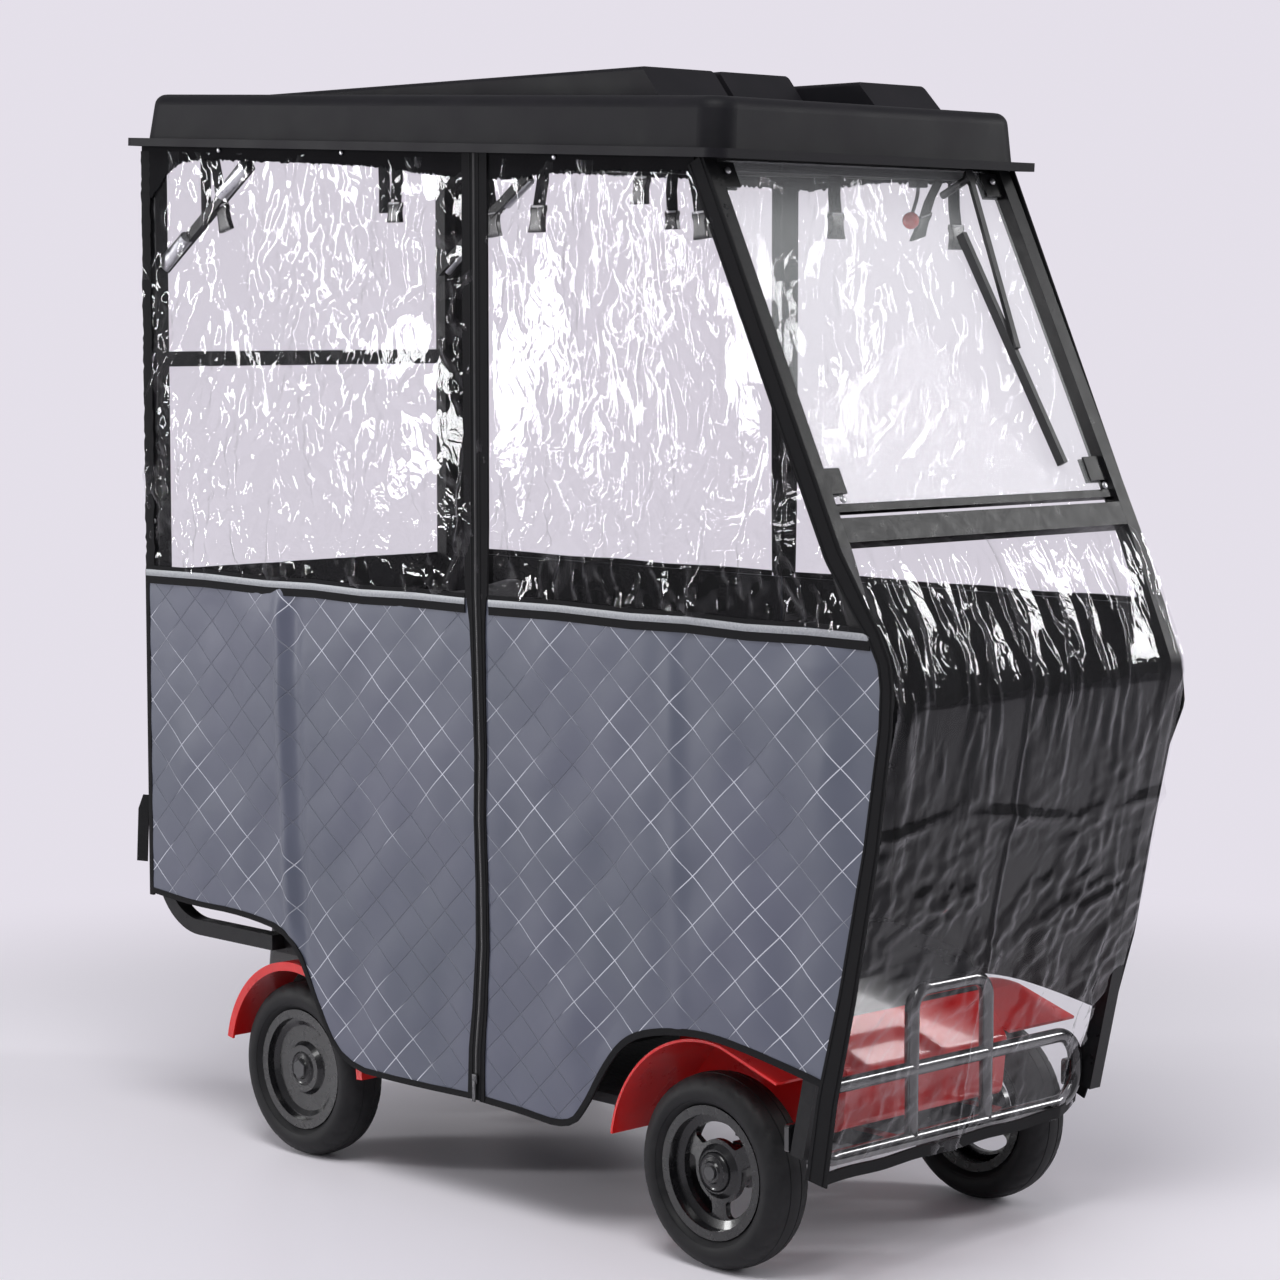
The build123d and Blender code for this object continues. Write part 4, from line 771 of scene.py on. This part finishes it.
# Rear cover: a quilted panel below a clear window, behind the rear posts.
rear_half = 0.326
rear_quilt, _, rear_places = sheet_mesh("quilt_rear", 110, 90, *rectangle(-rear_half, rear_half, 0.391, strip_level))
across, up = rear_places.T
rear_out = 0.0022 * puffs(across, up) ** 0.5 + 0.0035 * slow_wave(across, up * 0.35, 61, 0.2)
for index, vertex in enumerate(rear_quilt.data.vertices):
    vertex.co = (-0.8145 - rear_out[index], across[index], up[index])
rear_cloth = quilt_cloth.copy()
rear_cloth.name = "quilted_nylon_rear"
split_node = [n for n in rear_cloth.node_tree.nodes if n.bl_idname == "ShaderNodeSeparateXYZ"][0]
for joined in list(rear_cloth.node_tree.links):
    if joined.from_node == split_node and joined.from_socket.name == "X":
        join(rear_cloth, split_node.outputs["Y"], joined.to_socket)
face(rear_quilt, 0, -1)
line_quilt(rear_quilt, rear_cloth, flat=(0.655, 0.55), rests_on=["rear_posts"])
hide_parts("rear_quilt")
rear_film, _, rear_places = sheet_mesh("window_rear", 120, 130,
                                       *rectangle(-rear_half, rear_half, window_foot, window_top(rear_edge)))
across, up = rear_places.T
rear_height = np.clip(crumple(across, up, 71, radians(12), 0.55, 0.8), -0.002, 0.008)
for index, vertex in enumerate(rear_film.data.vertices):
    vertex.co = (-0.8125 - rear_height[index], across[index], up[index])
finish_film(rear_film, "rear_window", flat=(0.655, 0.69), held="stretched", rests_on=["rear_posts"])

# Edge bands: black webbing folded over the cover's front edges and stitched, from the roof to the ground edge.
webbing = patterned(new_material("black_webbing", (0.006, 0.006, 0.007), 0.65, Specular_IOR_Level=0.15), "TexWave",
                    "Fac", 0.5, 0.0006, ("Scale", 300.0), ("Distortion", 0.5), bands_direction="Z")


def side_band(name, side, run, widths, out, thick, steps, material=webbing, frayed=0.0, beads=0.0,
              seed=0):
    """A flat sewn band along a run of (x, z) points on the cover's side, its face `out` from the middle."""
    obj, _ = net(name, steps, 4)
    points = np.array(run, dtype=float)
    widths = np.broadcast_to(widths, len(points))
    shares = np.concatenate([[0], np.cumsum(np.linalg.norm(np.diff(points, axis=0), axis=1))])
    shares /= shares[-1]
    ragged = np.random.default_rng(seed).uniform(-1, 1, (steps + 1, 2)) * frayed

    def at(share):
        """The run's point at a share of its length."""
        return Vector((np.interp(share, shares, points[:, 0]), np.interp(share, shares, points[:, 1])))

    for vertex in obj.data.vertices:
        u, v = vertex.co.x / 2 + 0.5, vertex.co.y / 2
        ahead = at(min(1.0, u + 0.012)) - at(max(0.0, u - 0.012))
        cross = Vector((-ahead[1], ahead[0])).normalized()
        wide = np.interp(u, shares, widths) * v
        column = int(round(u * steps))
        if abs(v) > 0.49:
            wide += ragged[column, 0 if v > 0 else 1]
        lift = 0.0004 * (1 - (2 * v) ** 2) + (beads if column % 2 and abs(v) < 0.4 else 0.0)
        spot = at(u)
        vertex.co = (spot[0] + cross[0] * wide, side * (out + lift), spot[1] + cross[1] * wide)
    face(obj, 1, side)
    thicken(obj, thick)
    return settle(obj, material, "chassis", 35)


band_runs = {
    "right": ([(0.489, 1.577), (0.752, 1.040), (0.800, 0.972), (0.8265, 0.937), (0.846, 0.900), (0.851, 0.866),
               (0.849, 0.811), (0.825, 0.647), (0.7825, 0.437), (0.7465, 0.290), (0.7275, 0.172)],
              [0.032, 0.032, 0.028, 0.024, 0.023, 0.023, 0.023, 0.027, 0.031, 0.036, 0.039]),
    "left": ([(0.489, 1.577), (0.697, 1.126), (0.745, 1.020), (0.785, 0.930), (0.816, 0.840), (0.822, 0.797),
              (0.798, 0.735), (0.768, 0.600), (0.737, 0.446), (0.692, 0.300), (0.645, 0.180)],
             [0.032, 0.032, 0.032, 0.034, 0.036, 0.034, 0.030, 0.030, 0.032, 0.034, 0.036]),
}
for side_name, side in sides:
    band_run, band_widths = band_runs[side_name]
    edge_band = side_band(f"edge_band_{side_name}", side, band_run, band_widths, 0.3358, 0.0030, 150)
    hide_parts("edge_bands")
    for seam_name, shift in (("outer", 0.34), ("inner", -0.34)):
        seam_run = []
        for (x, z), (x2, z2), wide in zip(band_run[:-1], band_run[1:], band_widths):
            cross = Vector((-(z2 - z), x2 - x)).normalized() * wide * shift
            seam_run.append((x + cross[0], z + cross[1]))
        seam_run.append((x2 + cross[0], z2 + cross[1]))
        side_band(f"edge_seam_{seam_name}_{side_name}", side, seam_run, 0.0011, 0.3366, 0.0006, 420, beads=0.0005)

# Apron hem: the same webbing folded over the apron's bottom edge, between the two side bands.
apron_hem, hem_flat = net("apron_hem", 90, 3)
for (u, v), vertex in zip(hem_flat, apron_hem.data.vertices):
    across = (u - 0.5) * 0.655
    level = 0.168 + v * 0.017 + 0.0012 * np.sin(across * 40)
    line_x = np.interp(level, [0.168, 0.200, 0.852], [0.697, 0.702, 0.847])
    vertex.co = (line_x + apron_push(level, across) + 0.0035, across, level)
face(apron_hem, 0, 1)
thicken(apron_hem, 0.0045)
settle(apron_hem, webbing, "chassis", 35)

# Bindings: narrow black tape folded over the quilts' raw edges, along the wheel cut-outs and up the rear edge.
# A wider hem runs up the clear window's rear edge.
for side_name, side in sides:
    for part, wide in (("rear", 0.0095), ("front", 0.0105)):
        side_band(f"binding_{part}_{side_name}", side, [(x, z + 0.004) for x, z in lower_edge(side, part)], wide,
                  0.3346, 0.0046, 150)
    side_band(f"binding_corner_{side_name}", side, [(-0.812, 0.386), (-0.812, 0.938)], 0.010, 0.3346, 0.0046, 60)
    hem_x, hem_wide = (-0.803, 0.024) if side < 0 else (-0.783, 0.064)
    side_band(f"rear_hem_{side_name}", side, [(hem_x, 0.938), (hem_x, 1.634)], hem_wide, 0.3344, 0.0016, 90,
              frayed=0.002, seed=9)

# Reflective strips: grey reflective tape on black tape, sewn over the seam between quilt and clear sheet.
reflective = speckled("reflective_tape", 300, (0.31, 0.32, 0.34), (0.20, 0.21, 0.225), (0.32, 0.5), Metallic=0.25)
strip_shares = (0, 0.2, 0.4, 0.55, 0.7, 0.85, 1.0)
strip_drift = (0, 0.0015, -0.001, 0.0012, -0.0015, 0.001, 0)
for side_name, side in sides:
    for part, aft, fore in (("rear", -0.814, -0.002), ("front", 0.052, 0.820 if side < 0 else 0.786)):
        strip_run = [(aft + (fore - aft) * share, drift) for share, drift in zip(strip_shares, strip_drift)]
        side_band(f"strip_backing_{side_name}_{part}", side, [(x, 0.9305 + drift) for x, drift in strip_run], 0.030,
                  0.3350, 0.0022, 90)
        tape = side_band(f"reflective_tape_{side_name}_{part}", side, [(x, 0.9335 + drift) for x, drift in strip_run],
                         [0.0105] * 6 + [0.0095], 0.3357, 0.0009, 90, reflective)
        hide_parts("reflective_strips")

# Zippers: woven tape, wide beside the clear sheet and narrow beside the quilt, with a coil of nylon teeth
# down its middle and a metal slider near the ground.
zipper_runs = (
    ("upper", [(0.025, 1.603), (0.025, 1.30), (0.0255, 1.05), (0.025, 0.942)], [0.056, 0.056, 0.054, 0.050]),
    ("lower", [(0.025, 0.946), (0.027, 0.90), (0.030, 0.80), (0.033, 0.70), (0.031, 0.605), (0.035, 0.507),
               (0.036, 0.409), (0.029, 0.312), (0.022, 0.25), (0.020, 0.172)],
     [0.046, 0.034, 0.029, 0.027, 0.027, 0.028, 0.030, 0.033, 0.036, 0.038]),
)
coil_nylon = speckled("coil_nylon", 200, (0.024, 0.024, 0.025), (0.012, 0.012, 0.013), (0.28, 0.4))


def block(name, spot, size, width, segments, material):
    """A small box with rounded edges, on the chassis."""
    obj = start(name, "cube", size=1, location=spot, scale=size)
    bpy.ops.object.transform_apply(location=True, rotation=True, scale=True)
    reshape(obj, bevel={"offset": width, "segments": segments})
    settle(obj, material, "chassis")


for side_name, side in sides:
    for part, zip_run, zip_widths in zipper_runs:
        tape = side_band(f"zipper_tape_{side_name}_{part}", side, zip_run, zip_widths, 0.3361, 0.0034, 120)
        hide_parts("zippers")
        side_band(f"zipper_coil_{side_name}_{part}", side, zip_run, 0.0052, 0.3368, 0.0008, 460, coil_nylon,
                  beads=0.0006)
        for edge_name, shift in (("fore", 0.0095), ("aft", -0.0095)):
            side_band(f"zipper_fold_{side_name}_{part}_{edge_name}", side, [(x + shift, z) for x, z in zip_run],
                      0.0028, 0.3369, 0.0009, 120)
    block(f"zipper_slider_{side_name}", (0.021, side * 0.3388, 0.205), (0.011, 0.004, 0.014), 0.0012, 2, nut_steel)
    block(f"zipper_pull_{side_name}", (0.021, side * 0.3412, 0.186), (0.007, 0.0016, 0.032), 0.0006, 2, nut_steel)

# Header band: a fleecy black strip that hangs the cover from the roof rail, deepest at its rear end.
fleece = speckled("black_fleece", 260, (0.009, 0.009, 0.010), (0.004, 0.004, 0.005), (0.8, 1.0), 0.9, 700,
                  Specular_IOR_Level=0.1)
header_cells = 430
header_top, header_bottom = [], []
for x, depth in (
    (-0.813, 0.110), (-0.780, 0.085), (-0.745, 0.050), (-0.700, 0.030), (-0.640, 0.026), (-0.547, 0.026),
    (-0.392, 0.027), (-0.281, 0.028), (-0.196, 0.030), (-0.149, 0.035), (-0.056, 0.040), (0.013, 0.043),
    (0.080, 0.044), (0.130, 0.040), (0.210, 0.030), (0.336, 0.027), (0.440, 0.026), (0.486, 0.026),
):
    header_top.append((x, brim_level(x) - 0.001))
    header_bottom.append((x, brim_level(x) - 0.001 - depth))
for side_name, side in sides:
    header, header_flat, header_places = sheet_mesh(
        f"header_band_{side_name}", header_cells, 5, through(header_bottom), through(header_top),
        through([header_bottom[0], header_top[0]]), through([header_bottom[-1], header_top[-1]]),
    )
    tufts = np.random.default_rng(5 if side < 0 else 6).uniform(-0.0035, 0.0015, header_cells + 1)
    for (u, v), (x, z), vertex in zip(header_flat, header_places, header.data.vertices):
        low = tufts[int(round(u * header_cells))] if v < 0.01 else 0.0
        vertex.co = (x, side * (0.3336 + 0.0008 * np.sin(u * 90)), z + low)
    face(header, 1, side)
    thicken(header, 0.0018)
    settle(header, fleece, "chassis")

# Straps: short lengths of 25 mm webbing that hang from the roof rails, with the open half of a side-release
# buckle on their ends, to tie up the rolled doors.
buckle_plastic = speckled("buckle_plastic", 90, (0.02, 0.02, 0.021), (0.011, 0.011, 0.012), (0.24, 0.36))
# The buckle bars are light grey: a painted highlight, standing in for a glint on glossy black plastic.
highlight_bar_plastic = speckled("buckle_bar_painted_highlight", 90, (0.62, 0.62, 0.64), (0.5, 0.5, 0.52), (0.25, 0.4))


def strap(name, run, across, wide):
    """A hanging strap through points in space, its width along `across`."""
    obj, flat = net(name, 24, 2)
    points = np.array(run, dtype=float)
    shares = np.linspace(0, 1, len(points))
    for (u, v), vertex in zip(flat, obj.data.vertices):
        spot = Vector([np.interp(u, shares, points[:, axis]) for axis in range(3)])
        vertex.co = spot + Vector(across).normalized() * ((v - 0.5) * wide)
    only(obj)
    thicken(obj, 0.0018, 0)
    settle(obj, webbing, "chassis", 35)


def outward(obj):
    """Turns the faces of a closed mesh outward."""
    reshape(obj, normals_make_consistent={"inside": False})


def buckle(name, top, bottom, across):
    """The receiving half of a side-release buckle from top to bottom, waisted and open at its end."""
    obj = start(name, "cube", size=1)
    reshape(obj, subdivide={"number_cuts": 5})
    top, bottom, across = Vector(top), Vector(bottom), Vector(across).normalized()
    down = bottom - top
    out = down.normalized().cross(across)
    for vertex in obj.data.vertices:
        t = 0.5 - vertex.co.z
        wide = np.interp(t, [0, 0.18, 0.36, 0.62, 1.0], [0.031, 0.031, 0.024, 0.025, 0.033])
        deep = np.interp(t, [0, 0.2, 0.5, 1.0], [0.005, 0.008, 0.010, 0.008])
        vertex.co = top + down * t + across * (vertex.co.x * wide) + out * (vertex.co.y * deep)
    outward(obj)
    soft = obj.modifiers.new("soft", "BEVEL")
    soft.width = 0.001
    soft.segments = 2
    soft.limit_method = "ANGLE"
    bpy.ops.object.modifier_apply(modifier="soft")
    settle(obj, buckle_plastic, "chassis", 35)
    # A light grey bar across the buckle's top end: painted highlight.
    bar = start(name + "_bar", "cylinder", vertices=12, radius=0.0016, depth=0.022)
    for vertex in bar.data.vertices:
        turn_x, turn_y, length = vertex.co
        vertex.co = top + down * 0.05 + across * length + out * (turn_x + 0.0035) + down.normalized() * turn_y
    outward(bar)
    settle(bar, highlight_bar_plastic, "chassis", 35)


strap_list = [
    ("rear_tie", [(-0.683, -0.300, 1.640), (-0.685, -0.298, 1.58), (-0.682, -0.300, 1.515)], (1, 0, 0), None),
    ("rear_clip", [(-0.662, -0.300, 1.630), (-0.652, -0.297, 1.58), (-0.640, -0.300, 1.543)], (1, 0, 0.25),
     (-0.628, -0.300, 1.500)),
    ("middle_tie", [(-0.228, -0.300, 1.612), (-0.230, -0.296, 1.56), (-0.227, -0.299, 1.520)], (1, 0, 0), None),
    ("middle_clip", [(-0.197, -0.300, 1.612), (-0.199, -0.296, 1.57), (-0.200, -0.299, 1.536)], (1, 0, 0),
     (-0.201, -0.300, 1.505)),
    ("zipper_clip", [(0.136, -0.300, 1.600), (0.133, -0.296, 1.56), (0.128, -0.299, 1.524)], (1, 0, 0),
     (0.124, -0.300, 1.484)),
    ("door_clip", [(0.352, -0.300, 1.590), (0.350, -0.297, 1.575), (0.347, -0.299, 1.560)], (1, 0, 0),
     (0.342, -0.300, 1.520)),
    ("pillar_clip", [(0.452, -0.300, 1.560), (0.458, -0.297, 1.53), (0.464, -0.299, 1.508)], (1, 0, 0.1),
     (0.470, -0.300, 1.469)),
    ("header_clip", [(0.441, 0.004, 1.570), (0.439, 0.003, 1.54), (0.441, 0.004, 1.513)], (0, 1, 0),
     (0.441, 0.006, 1.474)),
    ("header_tilted", [(0.441, 0.236, 1.568), (0.438, 0.216, 1.535), (0.441, 0.203, 1.514)], (0, 1, 0.25),
     (0.441, 0.186, 1.477)),
    ("header_left", [(0.441, 0.268, 1.560), (0.439, 0.272, 1.525), (0.441, 0.274, 1.500)], (0, 1, 0),
     (0.441, 0.276, 1.462)),
    ("left_middle_clip", [(-0.197, 0.300, 1.612), (-0.199, 0.296, 1.57), (-0.200, 0.299, 1.536)], (1, 0, 0),
     (-0.201, 0.300, 1.505)),
    ("left_rear_clip", [(-0.662, 0.300, 1.630), (-0.655, 0.297, 1.58), (-0.650, 0.300, 1.543)], (1, 0, 0.1),
     (-0.645, 0.300, 1.500)),
]
for strap_name, run, across, end in strap_list:
    strap(f"strap_{strap_name}", run, across, 0.025)
    if end:
        buckle(f"buckle_{strap_name}", run[-1], end, across)

# Rear tab: a short webbing pull sewn to the cover's rear edge.
strap("rear_pull", [(-0.822, -0.331, 0.555), (-0.836, -0.331, 0.53), (-0.842, -0.331, 0.44)], (1, 0.3, 0), 0.022)

# Wiper lever: a bent chromed rod on a small black bracket, with a red ball knob on its end.
chrome = speckled("chrome_rod", 120, (0.78, 0.78, 0.8), (0.66, 0.66, 0.68), (0.08, 0.16), Metallic=1.0)
lever_low, lever_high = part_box("wiper_lever")
rod_head = Vector((0.4575, 0.168, lever_high[2] - 0.011))
rod_foot = Vector((lever_high[0] - 0.013, lever_low[1] + 0.013, lever_low[2] + 0.013))
bpy.ops.object.select_all(action="DESELECT")
bpy.ops.curve.primitive_bezier_curve_add()
rod = bpy.context.object
rod.name = "lever_rod"
rod_points = rod.data.splines[0].bezier_points
rod_points[0].co, rod_points[1].co = rod_head, rod_foot
rod_points[0].handle_left = rod_head + Vector((0, 0, 0.01))
rod_points[0].handle_right = rod_head - Vector((0, 0, 0.02))
rod_points[1].handle_left = rod_foot + (rod_head - rod_foot) * 0.35 + Vector((0, 0, 0.004))
rod_points[1].handle_right = rod_foot - (rod_head - rod_foot) * 0.1
rod.data.bevel_depth = 0.0028
rod.data.bevel_resolution = 5
rod.data.use_fill_caps = True
only(rod)
bpy.ops.object.convert(target="MESH")
rod = settle(bpy.context.object, chrome, "chassis")
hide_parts("wiper_lever")
block("lever_bracket", (0.4575, 0.168, lever_high[2] - 0.006), (0.018, 0.026, 0.012), 0.002, 3, black_plastic)
knob_red = speckled("red_knob", 80, (0.60, 0.014, 0.013), (0.46, 0.008, 0.008), (0.15, 0.24), Coat_Weight=0.6,
                    Coat_Roughness=0.05)
knob = start("lever_knob", "uv_sphere", segments=40, ring_count=24, radius=0.0128, location=rod_foot)
bpy.ops.object.transform_apply(location=True, rotation=True, scale=True)
neck = (rod_head - rod_foot).normalized()
neck_start = 0.0105
for vertex in knob.data.vertices:
    lift = (vertex.co - rod_foot).dot(neck)
    if lift > neck_start:
        side_way = vertex.co - rod_foot - neck * lift
        vertex.co = rod_foot + neck * (neck_start + (lift - neck_start) * 2.2) + side_way * 0.9
settle(knob, knob_red, "chassis", 60)

# Braces: the diagonal stays have bright flattened ends.
brace_metal = speckled("bright_zinc", 70, (0.66, 0.67, 0.69), (0.48, 0.49, 0.51), (0.25, 0.42), 0.2, 600, Metallic=0.9)
brace_foot = Vector((-0.797, 0, 1.440))
brace_head = Vector((-0.560, 0, brim_level(-0.560) - 0.034))
brace_way = (brace_head - brace_foot).normalized()
for side_name, side in sides:
    for end_name, origin, way in (("foot", brace_foot + brace_way * 0.012, brace_way),
                                  ("head", brace_head - brace_way * 0.004, -brace_way)):
        sleeve = start(f"brace_{end_name}_{side_name}", "cylinder", vertices=28, radius=0.0125, depth=1)
        reshape(sleeve, subdivide={"number_cuts": 1})
        cross = Vector((-way.z, 0, way.x))
        for vertex in sleeve.data.vertices:
            t = vertex.co.z + 0.5
            flat_share = np.interp(t, [0, 0.45, 1.0], [0.62, 0.7, 1.0])
            wide_share = np.interp(t, [0, 0.45, 1.0], [1.15, 1.05, 0.86])
            vertex.co = (origin + way * (t * 0.078) + cross * (vertex.co.x * wide_share)
                         + Vector((0, side * 0.3092 + vertex.co.y * flat_share, 0)))
        outward(sleeve)
        settle(sleeve, brace_metal, "chassis")

# Rivets and bolts: domed heads on the rear posts, the roof rails and the glass clamps.
rivet_steel = speckled("rivet_steel", 200, (0.55, 0.55, 0.57), (0.4, 0.4, 0.42), (0.25, 0.4), Metallic=0.9)


def dome(name, spot, way, radius):
    """A domed rivet head at spot, standing out along way."""
    obj = start(name, "circle", vertices=16, radius=radius, fill_type="NGON")
    bpy.ops.object.mode_set(mode="EDIT")
    bpy.ops.mesh.select_all(action="SELECT")
    bpy.ops.mesh.extrude_region_move(TRANSFORM_OT_translate={"value": (0, 0, radius * 0.25)})
    for grow in (0.86, 0.6):
        bpy.ops.mesh.extrude_region_move(TRANSFORM_OT_translate={"value": (0, 0, radius * 0.16)})
        bpy.ops.transform.resize(value=(grow, grow, 1))
    bpy.ops.object.mode_set(mode="OBJECT")
    outward(obj)
    turn = Vector(way).to_track_quat("Z", "Y").to_matrix()
    for vertex in obj.data.vertices:
        vertex.co = turn @ vertex.co + Vector(spot)
    settle(obj, rivet_steel, "chassis", 50)


for side_name, side in sides:
    for number, level in enumerate((1.412, 1.352, 1.290, 1.02)):
        dome(f"post_rivet_{side_name}_{number}", (-0.797, side * 0.3288, level), (0, side, 0), 0.0042)
    for number, x in enumerate((-0.60, -0.287, 0.20)):
        dome(f"rail_screw_{side_name}_{number}", (x, side * 0.3354, brim_level(x) - 0.012), (0, side, 0), 0.0040)
for side_name, side in sides:
    for number, (x, z) in enumerate(((0.5027, 1.5635), (0.7243, 1.1124))):
        dome(f"clamp_bolt_{side_name}_{number}", (x, side * 0.2850, z), (0.899, 0, 0.437), 0.0055)
